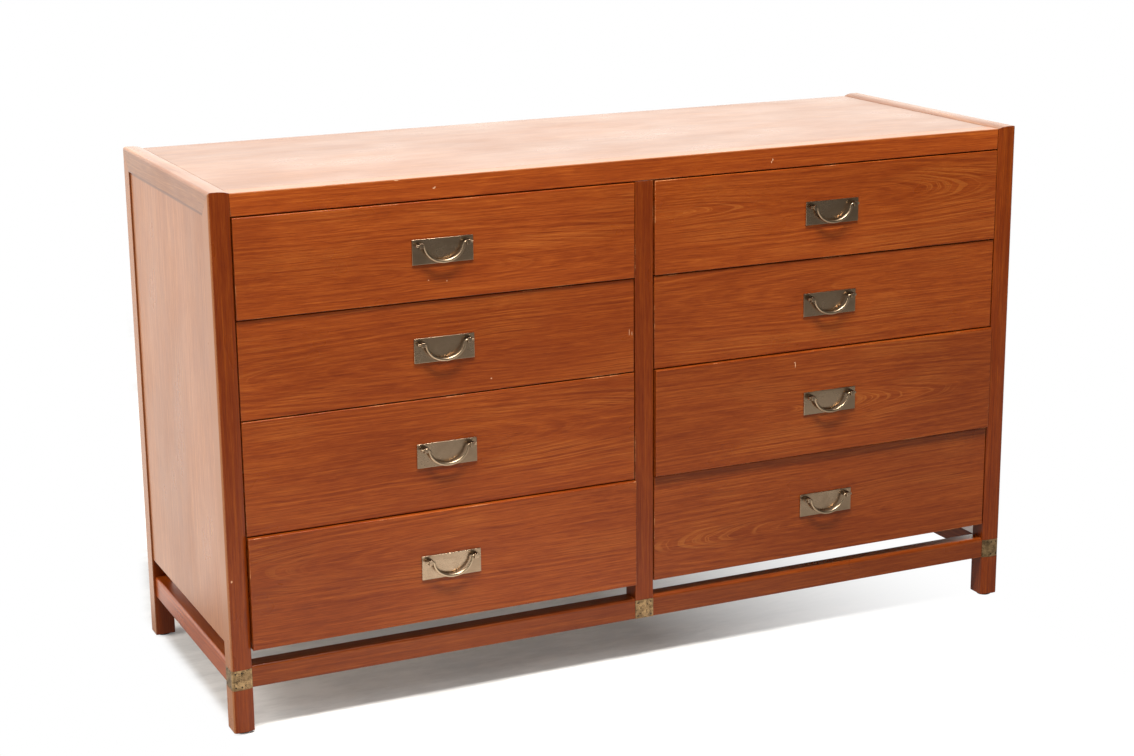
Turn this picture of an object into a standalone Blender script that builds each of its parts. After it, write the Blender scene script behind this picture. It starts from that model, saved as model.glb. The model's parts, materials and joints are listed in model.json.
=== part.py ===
"""A campaign dresser with two columns of four drawers, built as its separate wooden and brass pieces.

Metres, +Z up. X runs along the front, -Y is the side that the drawers open to, and the origin
lies on the floor under the middle of the whole object, open drawers and pulls included.
"""

import math

import bmesh
import bpy
from mathutils import Matrix, Vector

# Overall sizes
WIDTH = 1.3716
DEPTH = 0.4826  # over the crowned faces of the posts
DRAWERS_BOTTOM = 0.1318  # floor to the lowest drawer fronts

# Fits shared by all joints
SEAT = 0.0003  # gap between two pieces that touch
OVERRUN = 0.002  # how far a cutter runs past what it cuts
OVERLAP = 0.001  # how far two shapes of one piece run into each other before they are joined
ROUND_PROFILE_SHARE = 0.5  # of a bevel's fullness, for a circular one

# Crowned stock of the posts and end rails
POST_WIDTH = 0.032
POST_DEPTH = 0.032
END_RAIL_HEIGHT = 0.035
CROWN = 0.0033  # how far the rounded faces stand above the flush faces beside them
CROWN_START = 0.014  # from the outer face to where the crown begins to fall
CORNER_RADIUS = 0.005
CORNER_STEPS = 4
CROWN_STEPS = 4
LEG_CHAMFER = 0.002

# Floor glides, driven into the legs
GLIDE_RADIUS = 0.012
GLIDE_HEIGHT = 0.003
GLIDE_SIDES = 16

# Centre post and front top rail
CENTRE_POST_WIDTH = 0.032
CENTRE_POST_DEPTH = 0.033
FRONT_RAIL_HEIGHT = 0.0338
FRONT_RAIL_DEPTH = 0.030
RAIL_EASING = 0.0015

# Stretchers
STRETCHER_BOTTOM = 0.0714  # above the floor
STRETCHER_HEIGHT = 0.0345
STRETCHER_DEPTH = 0.027
STRETCHER_SETBACK = 0.004  # behind the outer faces of the posts
STRETCHER_ROUND = 0.0045  # rounding of the upper outer edge
STRETCHER_ROUND_STEPS = 3
TENON_LENGTH = 0.008
TENON_THICKNESS = 0.010
TENON_HEIGHT = 0.020

# Panels of the case
PANEL_THICKNESS = 0.016
PANEL_INSET = 0.0024  # behind the outer face of the posts
PANEL_RISE = 0.0048  # lower edge of the lowest fronts to that of the side panels
TONGUE_THICKNESS = 0.006
TONGUE_LENGTH = 0.006
TOP_THICKNESS = 0.020
TOP_GROOVE = 0.0008  # bevel along the ends of the top, beside the end rails
BACK_THICKNESS = 0.006
BACK_INSET = 0.006  # in from the flush plane at the rear
BOARD_THICKNESS = 0.018
PARTITION_THICKNESS = 0.019

# Centre guides that the drawers run on
GUIDE_WIDTH = 0.020
GUIDE_HEIGHT = 0.009
GUIDE_SETBACK = 0.006  # behind the front edge of its board

# Brass bands, let in flush
BAND_HEIGHT = 0.031
BAND_THICKNESS = 0.001

# Drawers
DRAWER_GAP = 0.0018  # between fronts, and round them
UPPER_FRONT_HEIGHT = 0.148
LOWER_FRONT_HEIGHT = 0.1735
FRONT_THICKNESS = 0.020
FRONT_EASING = 0.0012
FRONT_EASING_STEPS = 2
STOP_GAP = 0.0005  # left between a closed front and the board edge that stops it
BOX_HEADROOM = 0.0115  # over the sides of a box
BOX_LENGTH = 0.415
BOX_SIDE_CLEARANCE = 0.005  # to the posts, on each side
BOX_WALL = 0.016
BOX_BACK_DROP = 0.008  # how much lower the back of a box is than its sides
BOX_BOTTOM_RISE = 0.012  # lower edge of the sides to the bottom panel
BOX_BOTTOM_THICKNESS = 0.006
RUNNING_GAP = 0.0003  # between a box and the board that it slides on
CHANNEL_WALL = 0.009  # each cheek of the grooved runner under a box
CHANNEL_GAP = 0.0006  # between a cheek and the centre guide
CHANNEL_LIFT = 0.002  # lower edge of the sides to the lower edge of the runner

# How far each drawer stands open at rest, top row first
REST_OPEN_LEFT = (0.003, 0.0, 0.001, 0.008)
REST_OPEN_RIGHT = (0.002, 0.0, 0.006, 0.0)

# Drop pulls
PLATE_WIDTH = 0.097
PLATE_HEIGHT = 0.038
PLATE_THICKNESS = 0.002
PLATE_EASING = 0.0007
EAR_SPACING = 0.0745
EAR_WIDTH = 0.0065
EAR_HEIGHT = 0.0072
EAR_LENGTH = 0.011  # from the face of the plate
EAR_EASING = 0.0008
PIVOT_BELOW_TOP = 0.0083  # plate's upper edge to the pivot
PIVOT_STANDOFF = 0.0070  # face of the plate to the pivot
PIN_RADIUS = 0.0019
PIN_PLAY = 0.0003
PIN_PROUD = 0.0042  # how far a pin's end shows outside its ear
PIN_EASING = 0.0005
PIN_SIDES = 12
KNUCKLE_RADIUS = 0.0028
KNUCKLE_LENGTH = 0.0042
BAIL_DROP = 0.0262  # pivot to the middle of the bail at its lowest
BAIL_RADIUS = 0.0026  # at its lowest
BAIL_FLATNESS_SHARE = 0.82  # front-to-back size over the height of its section
BAIL_END_SHARE = 0.78  # section at the ends over the section at the lowest point
BAIL_STEPS = 16
BOLT_RADIUS = 0.002
BOLT_PLAY = 0.0003
BOLT_SIDES = 8
NUT_RADIUS = 0.004
NUT_THICKNESS = 0.003
NUT_SIDES = 6

# Places that follow from the sizes
FRONT_HEIGHTS = (UPPER_FRONT_HEIGHT, UPPER_FRONT_HEIGHT, LOWER_FRONT_HEIGHT, LOWER_FRONT_HEIGHT)
PULL_REACH = SEAT + PLATE_THICKNESS + EAR_LENGTH
REACH = max(REST_OPEN_LEFT + REST_OPEN_RIGHT) + PULL_REACH - CROWN
FRONT = (REACH - DEPTH) / 2  # foremost face of the posts
REAR = FRONT + DEPTH
FLUSH_FRONT = FRONT + CROWN  # face of the rails and of the closed drawers
FLUSH_REAR = REAR - CROWN
SIDE = WIDTH / 2
RAIL_CROWN = CROWN * END_RAIL_HEIGHT / POST_DEPTH  # meets the posts' crown along the mitre
RAIL_BOTTOM = DRAWERS_BOTTOM + sum(FRONT_HEIGHTS) + len(FRONT_HEIGHTS) * DRAWER_GAP
TOP = RAIL_BOTTOM + FRONT_RAIL_HEIGHT  # surface of the top panel and front rail
HEIGHT = TOP + RAIL_CROWN
POST_INNER = SIDE - POST_WIDTH
BACK_OUTER = FLUSH_REAR - BACK_INSET
BACK_INNER = BACK_OUTER - BACK_THICKNESS
BOARD_FRONT = FLUSH_FRONT + FRONT_THICKNESS + STOP_GAP
BAY_CENTRE = (POST_INNER + CENTRE_POST_WIDTH / 2) / 2
BAY_WIDTH = POST_INNER - CENTRE_POST_WIDTH / 2
BOARD_OUTER = SIDE - PANEL_INSET - PANEL_THICKNESS
FRONT_WIDTH = BAY_WIDTH - 2 * DRAWER_GAP
BOX_WIDTH = BAY_WIDTH - 2 * BOX_SIDE_CLEARANCE
PANEL_BOTTOM = DRAWERS_BOTTOM + PANEL_RISE
CASE_FLOOR = PANEL_BOTTOM + BOARD_THICKNESS
PIVOT_ABOVE_MIDDLE = PLATE_HEIGHT / 2 - PIVOT_BELOW_TOP
STRETCHER_MIDDLE = STRETCHER_SETBACK + STRETCHER_DEPTH / 2  # in from the outer faces
TENON_BOTTOM = STRETCHER_BOTTOM + (STRETCHER_HEIGHT - TENON_HEIGHT) / 2
TONGUE_NEAR = PANEL_INSET + (PANEL_THICKNESS - TONGUE_THICKNESS) / 2  # in from the outer face

# Colours, roughness and metallic value of each finish
FINISHES = {
    "walnut": ((0.42, 0.15, 0.055, 1.0), 0.38, 0.0),
    "secondary_wood": ((0.62, 0.42, 0.24, 1.0), 0.6, 0.0),
    "back_ply": ((0.33, 0.18, 0.10, 1.0), 0.7, 0.0),
    "aged_brass": ((0.42, 0.34, 0.22, 1.0), 0.42, 1.0),
    "bronze": ((0.36, 0.29, 0.20, 1.0), 0.33, 1.0),
}


def clear_scene():
    """Remove whatever the file holds."""
    for obj in list(bpy.data.objects):
        bpy.data.objects.remove(obj)


def finish(name):
    """The named material, made on first use."""
    found = bpy.data.materials.get(name)
    if found:
        return found
    colour, roughness, metallic = FINISHES[name]
    made = bpy.data.materials.new(name)
    made.use_nodes = True
    made.diffuse_color = colour
    shader = made.node_tree.nodes["Principled BSDF"]
    shader.inputs["Base Color"].default_value = colour
    shader.inputs["Roughness"].default_value = roughness
    shader.inputs["Metallic"].default_value = metallic
    return made


def empty(name, location, parent=None):
    """A pivot that pieces hang on."""
    made = bpy.data.objects.new(name, None)
    bpy.context.scene.collection.objects.link(made)
    made.parent = parent
    made.location = location
    return made


def add(name, mesh, finish_name, location=(0, 0, 0), parent=None):
    """One named piece in the scene."""
    made = bpy.data.objects.new(name, mesh)
    bpy.context.scene.collection.objects.link(made)
    if not mesh.materials:
        mesh.materials.append(finish(finish_name))
    made.parent = parent
    made.location = location
    return made


def box(low, high):
    """A bmesh box between two corners."""
    low, high = Vector(low), Vector(high)
    bm = bmesh.new()
    bmesh.ops.create_cube(bm, size=1)
    bmesh.ops.scale(bm, vec=high - low, verts=bm.verts)
    bmesh.ops.translate(bm, vec=(low + high) / 2, verts=bm.verts)
    return bm


def cylinder(radius, sides, start, end):
    """A bmesh cylinder from one point to another."""
    start, end = Vector(start), Vector(end)
    axis = end - start
    turn = axis.to_track_quat("Z", "Y").to_matrix().to_4x4()
    bm = bmesh.new()
    bmesh.ops.create_cone(
        bm, cap_ends=True, segments=sides, radius1=radius, radius2=radius, depth=axis.length,
        matrix=Matrix.Translation((start + end) / 2) @ turn,
    )
    return bm


def rectangle(low_a, low_b, high_a, high_b):
    """Outline of a rectangle between two of its corners."""
    return [(low_a, low_b), (high_a, low_b), (high_a, high_b), (low_a, high_b)]


def prism(outline, to_point, start, end):
    """A bmesh prism: a flat outline carried from start to end, placed by to_point(a, b, along)."""
    bm = bmesh.new()
    ring = bm.faces.new([bm.verts.new(to_point(a, b, start)) for a, b in outline])
    swept = bmesh.ops.extrude_face_region(bm, geom=[ring])
    moved = [v for v in swept["geom"] if isinstance(v, bmesh.types.BMVert)]
    step = Vector(to_point(0, 0, end)) - Vector(to_point(0, 0, start))
    bmesh.ops.translate(bm, vec=step, verts=moved)
    bmesh.ops.recalc_face_normals(bm, faces=bm.faces)
    return bm


def merged(*parts):
    """Several bmeshes that don't touch, as one, for use as a cutter."""
    whole = bmesh.new()
    for part in parts:
        carried = bpy.data.meshes.new("part")
        part.to_mesh(carried)
        part.free()
        whole.from_mesh(carried)
        bpy.data.meshes.remove(carried)
    return whole


def eased(bm, width, where, segments=1):
    """Bevel the sharp edges whose two ends both pass where(place)."""
    sharp = [e for e in bm.edges if e.calc_face_angle(0) > math.radians(30)]
    chosen = [e for e in sharp if all(where(v.co) for v in e.verts)]
    bmesh.ops.bevel(
        bm, geom=chosen, offset=width, offset_type="OFFSET", segments=segments,
        profile=ROUND_PROFILE_SHARE, affect="EDGES", material=-1, clamp_overlap=True,
    )
    return bm


def cut_off(bm, point, outwards):
    """Cut a solid by a plane, drop what lies outwards of it and close the cut."""
    geometry = bm.verts[:] + bm.edges[:] + bm.faces[:]
    done = bmesh.ops.bisect_plane(
        bm, geom=geometry, plane_co=point, plane_no=outwards, clear_outer=True, clear_inner=False,
    )
    rim = [e for e in done["geom_cut"] if isinstance(e, bmesh.types.BMEdge)]
    bmesh.ops.edgeloop_fill(bm, edges=rim)
    bmesh.ops.recalc_face_normals(bm, faces=bm.faces)
    return bm


def helper_of(bm):
    """A bmesh as a helper object."""
    mesh = bpy.data.meshes.new("helper")
    bm.to_mesh(mesh)
    bm.free()
    made = bpy.data.objects.new("helper", mesh)
    bpy.context.scene.collection.objects.link(made)
    return made


def carved(name, base, joined=(), cuts=()):
    """The mesh of a base shape after joining and cutting the given shapes."""
    body = helper_of(base)
    helpers = []
    for operation, shapes in (("UNION", joined), ("DIFFERENCE", cuts)):
        for shape in shapes:
            helper = helper_of(shape)
            helpers.append(helper)
            boolean = body.modifiers.new(operation, "BOOLEAN")
            boolean.operation = operation
            boolean.object = helper
    bpy.context.view_layer.update()
    shaped = body.evaluated_get(bpy.context.evaluated_depsgraph_get())
    mesh = bpy.data.meshes.new_from_object(shaped)
    mesh.name = name
    for helper in helpers + [body]:
        bpy.data.meshes.remove(helper.data)
    return mesh


def smooth(mesh, degrees=35):
    """Shade the round faces smooth and keep the arrises sharp."""
    mesh.shade_smooth()
    mesh.set_sharp_from_angle(angle=math.radians(degrees))
    return mesh


def crowned_edge(offset, lead):
    """The outer and crowned faces of the post stock as (across, down) points, moved outwards by offset.

    across runs in from the outer face and down runs in from the crown. The line starts lead
    before the far edge of the outer face and ends lead past the inner edge of the crown.
    """
    points = [(-offset, POST_DEPTH + lead)]
    for step in range(CORNER_STEPS + 1):
        turn = math.radians(90) * step / CORNER_STEPS
        out = CORNER_RADIUS + offset
        points.append((CORNER_RADIUS - out * math.cos(turn), CORNER_RADIUS - out * math.sin(turn)))
    fall = POST_WIDTH - CROWN_START
    radius = (fall**2 + CROWN**2) / (2 * CROWN)
    sweep = math.asin(fall / radius)
    for step in range(CROWN_STEPS + 1):
        turn = sweep * step / CROWN_STEPS
        out = radius + offset
        points.append((CROWN_START + out * math.sin(turn), radius - out * math.cos(turn)))
    if lead:
        points.append((points[-1][0] + lead * math.cos(sweep), points[-1][1] + lead * math.sin(sweep)))
    return points


def stock_outline(depth):
    """Closed section of a crowned post or rail that is depth deep.

    The crown deepens with the stock, so that post and rail meet along their mitre.
    """
    edge = [(across, down * depth / POST_DEPTH) for across, down in crowned_edge(0, 0)]
    return [(0, depth)] + edge[1:] + [(POST_WIDTH, depth)]


def post_place(side, end):
    """Carries (across, in, height) of a post to the corner at side -1 or 1 and end -1 (front) or 1."""
    def place(across, inward, height):
        y = FRONT + inward if end < 0 else REAR - inward
        return (side * (SIDE - across), y, height)
    return place


def mortises(place):
    """Cutter for the two stretcher tenons that enter a post, from its inner and its inward face."""
    slot = TENON_THICKNESS / 2 + SEAT
    near, far = STRETCHER_MIDDLE - slot, STRETCHER_MIDDLE + slot
    deep = TENON_LENGTH + SEAT
    outlines = (
        rectangle(POST_WIDTH - deep, near, POST_WIDTH + OVERRUN, far),
        rectangle(near, POST_DEPTH - deep, far, POST_DEPTH + OVERRUN),
    )
    low, high = TENON_BOTTOM - SEAT, TENON_BOTTOM + TENON_HEIGHT + SEAT
    return merged(*(prism(outline, place, low, high) for outline in outlines))


def panel_groove(place, depth, start, end):
    """Cutter for the groove that holds a side panel's tongue, in stock that is depth deep."""
    near, far = TONGUE_NEAR - SEAT, TONGUE_NEAR + TONGUE_THICKNESS + SEAT
    return prism(rectangle(near, depth - TONGUE_LENGTH - SEAT, far, depth + OVERRUN), place, start, end)


def band_strip(place, inner, outer, lead, start, end):
    """A strip wrapped on the outer and crowned faces of a post, between two offsets from them."""
    outline = crowned_edge(outer, lead) + crowned_edge(inner, lead)[::-1]
    return prism(outline, place, start, end)


def corner_post(side, end):
    """A leg and post in one, mitred to the end rail at its top, with a glide in its foot."""
    place = post_place(side, end)
    stock = prism(stock_outline(POST_DEPTH), place, GLIDE_HEIGHT, HEIGHT)
    stock = eased(stock, LEG_CHAMFER, lambda co: co.z < GLIDE_HEIGHT + OVERLAP)
    away = Vector((0, -end * END_RAIL_HEIGHT, POST_DEPTH))
    tip = Vector(place(0, 0, HEIGHT - 2 * SEAT))
    stock = cut_off(stock, tip, away)
    middle = Vector(place(POST_WIDTH / 2, POST_DEPTH / 2, 0))
    glide = cylinder(GLIDE_RADIUS, GLIDE_SIDES, middle, middle + Vector((0, 0, GLIDE_HEIGHT + OVERLAP)))
    cuts = [mortises(place), panel_groove(place, POST_DEPTH, PANEL_BOTTOM - SEAT, HEIGHT)]
    if end < 0:
        low, high = STRETCHER_BOTTOM - SEAT, STRETCHER_BOTTOM + BAND_HEIGHT + SEAT
        cuts.append(band_strip(place, -BAND_THICKNESS - SEAT, OVERRUN, OVERRUN, low, high))
    name = "post_" + ("front" if end < 0 else "rear") + ("_left" if side < 0 else "_right")
    return add(name, smooth(carved(name, stock, [glide], cuts)), "walnut")


def corner_band(side):
    """The brass band let into the front and outer faces of a front post."""
    place = post_place(side, -1)
    strip = band_strip(place, -BAND_THICKNESS, 0, 0, STRETCHER_BOTTOM, STRETCHER_BOTTOM + BAND_HEIGHT)
    name = "brass_band_left" if side < 0 else "brass_band_right"
    mesh = carved(name, strip)
    return add(name, smooth(mesh), "aged_brass")


def end_rail(side):
    """The crowned rail between the tops of a front and a rear post, mitred to both."""
    def place(across, down, along):
        return (side * (SIDE - across), along, HEIGHT - down)
    stock = prism(stock_outline(END_RAIL_HEIGHT), place, FRONT, REAR)
    for end, tip_y in ((-1, FRONT), (1, REAR)):
        away = Vector((0, end * END_RAIL_HEIGHT, -POST_DEPTH))
        stock = cut_off(stock, (0, tip_y, HEIGHT), away)
    inset = POST_DEPTH - TONGUE_LENGTH
    groove = panel_groove(place, END_RAIL_HEIGHT, FRONT + inset, REAR - inset)
    name = "top_rail_left" if side < 0 else "top_rail_right"
    mesh = carved(name, stock, cuts=[groove])
    return add(name, smooth(mesh), "walnut")


def side_panel(side):
    """The veneered panel of an end, tongued into its posts and rail."""
    def corners(front, rear, top, near, far):
        xs = sorted((side * (SIDE - near), side * (SIDE - far)))
        return (xs[0], front, PANEL_BOTTOM), (xs[1], rear, top)
    front, rear = FRONT + POST_DEPTH + SEAT, REAR - POST_DEPTH - SEAT
    top = HEIGHT - END_RAIL_HEIGHT - SEAT
    board = box(*corners(front, rear, top, PANEL_INSET, PANEL_INSET + PANEL_THICKNESS))
    tongue = box(*corners(
        front - TONGUE_LENGTH + SEAT, rear + TONGUE_LENGTH - SEAT, top + TONGUE_LENGTH - SEAT,
        TONGUE_NEAR, TONGUE_NEAR + TONGUE_THICKNESS,
    ))
    name = "side_panel_left" if side < 0 else "side_panel_right"
    return add(name, carved(name, board, [tongue]), "walnut")


def stretcher(name, start, end, place):
    """A rail between two legs, rounded on its upper outer edge, with a tenon at each end.

    place(out, up, along) carries a section point: out is measured in from the outer faces.
    """
    r = STRETCHER_ROUND
    outline = [(STRETCHER_SETBACK, STRETCHER_BOTTOM)]
    for step in range(STRETCHER_ROUND_STEPS + 1):
        turn = math.radians(90) * step / STRETCHER_ROUND_STEPS
        outline.append((
            STRETCHER_SETBACK + r - r * math.cos(turn),
            STRETCHER_BOTTOM + STRETCHER_HEIGHT - r + r * math.sin(turn),
        ))
    outline.append((STRETCHER_SETBACK + STRETCHER_DEPTH, STRETCHER_BOTTOM + STRETCHER_HEIGHT))
    outline.append((STRETCHER_SETBACK + STRETCHER_DEPTH, STRETCHER_BOTTOM))
    body = prism(outline, place, start + SEAT, end - SEAT)
    near, far = STRETCHER_MIDDLE - TENON_THICKNESS / 2, STRETCHER_MIDDLE + TENON_THICKNESS / 2
    section = rectangle(near, TENON_BOTTOM, far, TENON_BOTTOM + TENON_HEIGHT)
    tenon = prism(section, place, start - TENON_LENGTH, end + TENON_LENGTH)
    mesh = carved(name, body, [tenon])
    return add(name, smooth(mesh), "walnut")


def stretchers():
    """The five rails that tie the legs together near the floor."""
    def across(face, inwards):
        return lambda out, up, along: (along, face + inwards * out, up)
    front = across(FRONT, 1)
    half_post = CENTRE_POST_WIDTH / 2
    stretcher("stretcher_front_left", -POST_INNER, -half_post, front)
    stretcher("stretcher_front_right", half_post, POST_INNER, front)
    stretcher("stretcher_rear", -POST_INNER, POST_INNER, across(REAR, -1))
    for side, name in ((-1, "stretcher_left"), (1, "stretcher_right")):
        def along_side(out, up, along, side=side):
            return (side * (SIDE - out), along, up)
        stretcher(name, FRONT + POST_DEPTH, REAR - POST_DEPTH, along_side)


def centre_tenon(play):
    """The tenon on the head of the centre post, or with some play its mortise in the rail."""
    half = TENON_THICKNESS / 2 + play
    middle = FLUSH_FRONT + CENTRE_POST_DEPTH / 2
    low = (-half, middle - half, RAIL_BOTTOM - OVERRUN)
    return box(low, (half, middle + half, RAIL_BOTTOM + TENON_LENGTH + play))


def on_flush_front(co):
    """Whether a place lies on the front face of the rail and centre post."""
    return co.y < FLUSH_FRONT + OVERLAP


def front_rail():
    """The top rail over the drawers, with the mortise of the centre post in its underside."""
    low = (-POST_INNER + SEAT, FLUSH_FRONT, RAIL_BOTTOM)
    high = (POST_INNER - SEAT, FLUSH_FRONT + FRONT_RAIL_DEPTH, TOP)
    rail = eased(box(low, high), RAIL_EASING, on_flush_front)
    name = "top_rail_front"
    return add(name, carved(name, rail, cuts=[centre_tenon(SEAT)]), "walnut")


def centre_post():
    """The post between the two columns, tenoned into the top rail and ending level with the stretchers."""
    half = CENTRE_POST_WIDTH / 2
    low = (-half, FLUSH_FRONT, STRETCHER_BOTTOM)
    high = (half, FLUSH_FRONT + CENTRE_POST_DEPTH, RAIL_BOTTOM - SEAT)
    post = eased(box(low, high), RAIL_EASING, on_flush_front)
    line, slot = FRONT + STRETCHER_MIDDLE, TENON_THICKNESS / 2 + SEAT
    inner, outer = half - TENON_LENGTH - SEAT, half + OVERRUN
    bottom, top = TENON_BOTTOM - SEAT, TENON_BOTTOM + TENON_HEIGHT + SEAT
    sockets = merged(*(
        box((start, line - slot, bottom), (end, line + slot, top))
        for start, end in ((-outer, -inner), (inner, outer))
    ))
    recess = box(
        (-outer, FLUSH_FRONT - OVERRUN, STRETCHER_BOTTOM - OVERRUN),
        (outer, FLUSH_FRONT + BAND_THICKNESS + SEAT, STRETCHER_BOTTOM + BAND_HEIGHT + SEAT),
    )
    name = "post_centre"
    return add(name, carved(name, post, [centre_tenon(0)], [sockets, recess]), "walnut")


def centre_band():
    """The brass plate let into the foot of the centre post."""
    half = CENTRE_POST_WIDTH / 2
    low = (-half, FLUSH_FRONT, STRETCHER_BOTTOM)
    high = (half, FLUSH_FRONT + BAND_THICKNESS, STRETCHER_BOTTOM + BAND_HEIGHT)
    return add("brass_band_centre", carved("brass_band_centre", box(low, high)), "aged_brass")


def top_panel():
    """The veneered top between the end rails, behind the front rail."""
    half, bottom = POST_INNER - SEAT, TOP - TOP_THICKNESS
    edge, shoulder = half - TOP_GROOVE, TOP - TOP_GROOVE
    right = [(half, bottom), (half, shoulder), (edge, TOP)]
    outline = right + [(-a, b) for a, b in reversed(right)]
    front = FLUSH_FRONT + FRONT_RAIL_DEPTH + SEAT
    panel = prism(outline, lambda a, b, along: (a, along, b), front, FLUSH_REAR)
    return add("top_panel", carved("top_panel", panel), "walnut")


def back_panel():
    """The thin panel between the rear posts."""
    low = (-POST_INNER + SEAT, BACK_INNER, PANEL_BOTTOM)
    high = (POST_INNER - SEAT, BACK_OUTER, TOP - TOP_THICKNESS - SEAT)
    return add("back_panel", carved("back_panel", box(low, high)), "back_ply")


def centre_partition():
    """The board that divides the two columns, behind the centre post."""
    half = PARTITION_THICKNESS / 2
    low = (-half, FLUSH_FRONT + CENTRE_POST_DEPTH + SEAT, CASE_FLOOR + SEAT)
    high = (half, BACK_INNER - SEAT, TOP - TOP_THICKNESS - SEAT)
    return add("centre_partition", carved("centre_partition", box(low, high)), "secondary_wood")


def guide(centre, board_top):
    """The strip on a board that keeps a drawer on its line."""
    return box(
        (centre - GUIDE_WIDTH / 2, BOARD_FRONT + GUIDE_SETBACK, board_top - OVERLAP),
        (centre + GUIDE_WIDTH / 2, BACK_INNER - SEAT, board_top + GUIDE_HEIGHT),
    )


def board_stations():
    """Y of the front edge, the end of the front notches, the start of the rear ones and the rear edge."""
    return BOARD_FRONT, FRONT + POST_DEPTH + SEAT, REAR - POST_DEPTH - SEAT, BACK_INNER - SEAT


def dust_board(side, row, top):
    """A board between two drawers of one column, notched round the posts, with its centre guide."""
    front, front_notch, rear_notch, rear = board_stations()
    centre_notch = FLUSH_FRONT + CENTRE_POST_DEPTH + SEAT
    outer, post = BOARD_OUTER - SEAT, POST_INNER - SEAT
    inner, centre = PARTITION_THICKNESS / 2 + SEAT, CENTRE_POST_WIDTH / 2 + SEAT
    outline = [
        (post, front), (post, front_notch), (outer, front_notch), (outer, rear_notch), (post, rear_notch),
        (post, rear), (inner, rear), (inner, centre_notch), (centre, centre_notch), (centre, front),
    ]
    board = prism(outline, lambda a, b, z: (side * a, b, z), top - BOARD_THICKNESS, top)
    name = ("dust_board_left_" if side < 0 else "dust_board_right_") + str(row)
    return add(name, carved(name, board, [guide(side * BAY_CENTRE, top)]), "secondary_wood")


def bottom_board():
    """The floor of the case, notched round all five posts, with the guides of the lowest drawers."""
    front, front_notch, rear_notch, rear = board_stations()
    centre_notch = FLUSH_FRONT + CENTRE_POST_DEPTH + SEAT
    outer, post, centre = BOARD_OUTER - SEAT, POST_INNER - SEAT, CENTRE_POST_WIDTH / 2 + SEAT
    half = [
        (centre, centre_notch), (centre, front), (post, front), (post, front_notch), (outer, front_notch),
        (outer, rear_notch), (post, rear_notch), (post, rear),
    ]
    outline = half + [(-a, b) for a, b in reversed(half)]
    board = prism(outline, lambda a, b, z: (a, b, z), PANEL_BOTTOM, CASE_FLOOR)
    guides = [guide(side * BAY_CENTRE, CASE_FLOOR) for side in (-1, 1)]
    return add("bottom_board", carved("bottom_board", board, guides), "secondary_wood")


def inscribed(radius, sides):
    """The corner radius of a polygon with the given radius to its flats."""
    return radius / math.cos(math.pi / sides)


def bolt_holes(start, end, height):
    """Cutter for the two bolt holes of a pull, from start to end along Y."""
    radius = inscribed(BOLT_RADIUS + BOLT_PLAY, BOLT_SIDES)
    return merged(*(
        cylinder(radius, BOLT_SIDES, (x, start, height), (x, end, height))
        for x in (-EAR_SPACING / 2, EAR_SPACING / 2)
    ))


def drawer_front_mesh(height):
    """The board that shows, its front face on the plane y = 0 and its middle on the origin."""
    half_width, half_height = FRONT_WIDTH / 2, height / 2
    board = box((-half_width, 0, -half_height), (half_width, FRONT_THICKNESS, half_height))
    board = eased(board, FRONT_EASING, lambda co: co.y < OVERLAP, FRONT_EASING_STEPS)
    holes = bolt_holes(-OVERRUN, FRONT_THICKNESS + OVERRUN, PIVOT_ABOVE_MIDDLE)
    return carved("drawer_front", board, cuts=[holes])


def drawer_box_mesh(height, bolt_height):
    """The tray behind a front: four walls, a raised bottom and a grooved runner under it.

    Its lower front edge lies on the origin, and the runner's groove rides on a centre guide.
    """
    half, inner = BOX_WIDTH / 2, BOX_WIDTH / 2 - BOX_WALL
    back = BOX_LENGTH - BOX_WALL
    bottom_top, above = BOX_BOTTOM_RISE + BOX_BOTTOM_THICKNESS, height + OVERRUN
    walls = box((-half, 0, 0), (half, BOX_LENGTH, height))
    inside = box((-inner, BOX_WALL, bottom_top), (inner, back, above))
    underneath = box((-inner, BOX_WALL, -OVERRUN), (inner, back, BOX_BOTTOM_RISE))
    lowered = box((-inner, back - OVERRUN, height - BOX_BACK_DROP), (inner, BOX_LENGTH + OVERRUN, above))
    groove = GUIDE_WIDTH / 2 + CHANNEL_GAP
    cheek = groove + CHANNEL_WALL
    notches = [
        box((-cheek, start, -OVERRUN), (cheek, end, GUIDE_HEIGHT + CHANNEL_LIFT))
        for start, end in ((-OVERRUN, BOX_WALL + OVERLAP), (back - OVERLAP, BOX_LENGTH + OVERRUN))
    ]
    holes = bolt_holes(-OVERRUN, BOX_WALL + OVERRUN, bolt_height)
    tray = carved("tray", walls, cuts=[inside, underneath, lowered, *notches, holes])
    shell = bmesh.new()
    shell.from_mesh(tray)
    bpy.data.meshes.remove(tray)
    cheeks = [
        box((near, BOX_WALL + OVERLAP, CHANNEL_LIFT), (far, back - OVERLAP, BOX_BOTTOM_RISE + OVERLAP))
        for near, far in ((-cheek, -groove), (groove, cheek))
    ]
    return carved("drawer_box", shell, cheeks)


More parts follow.
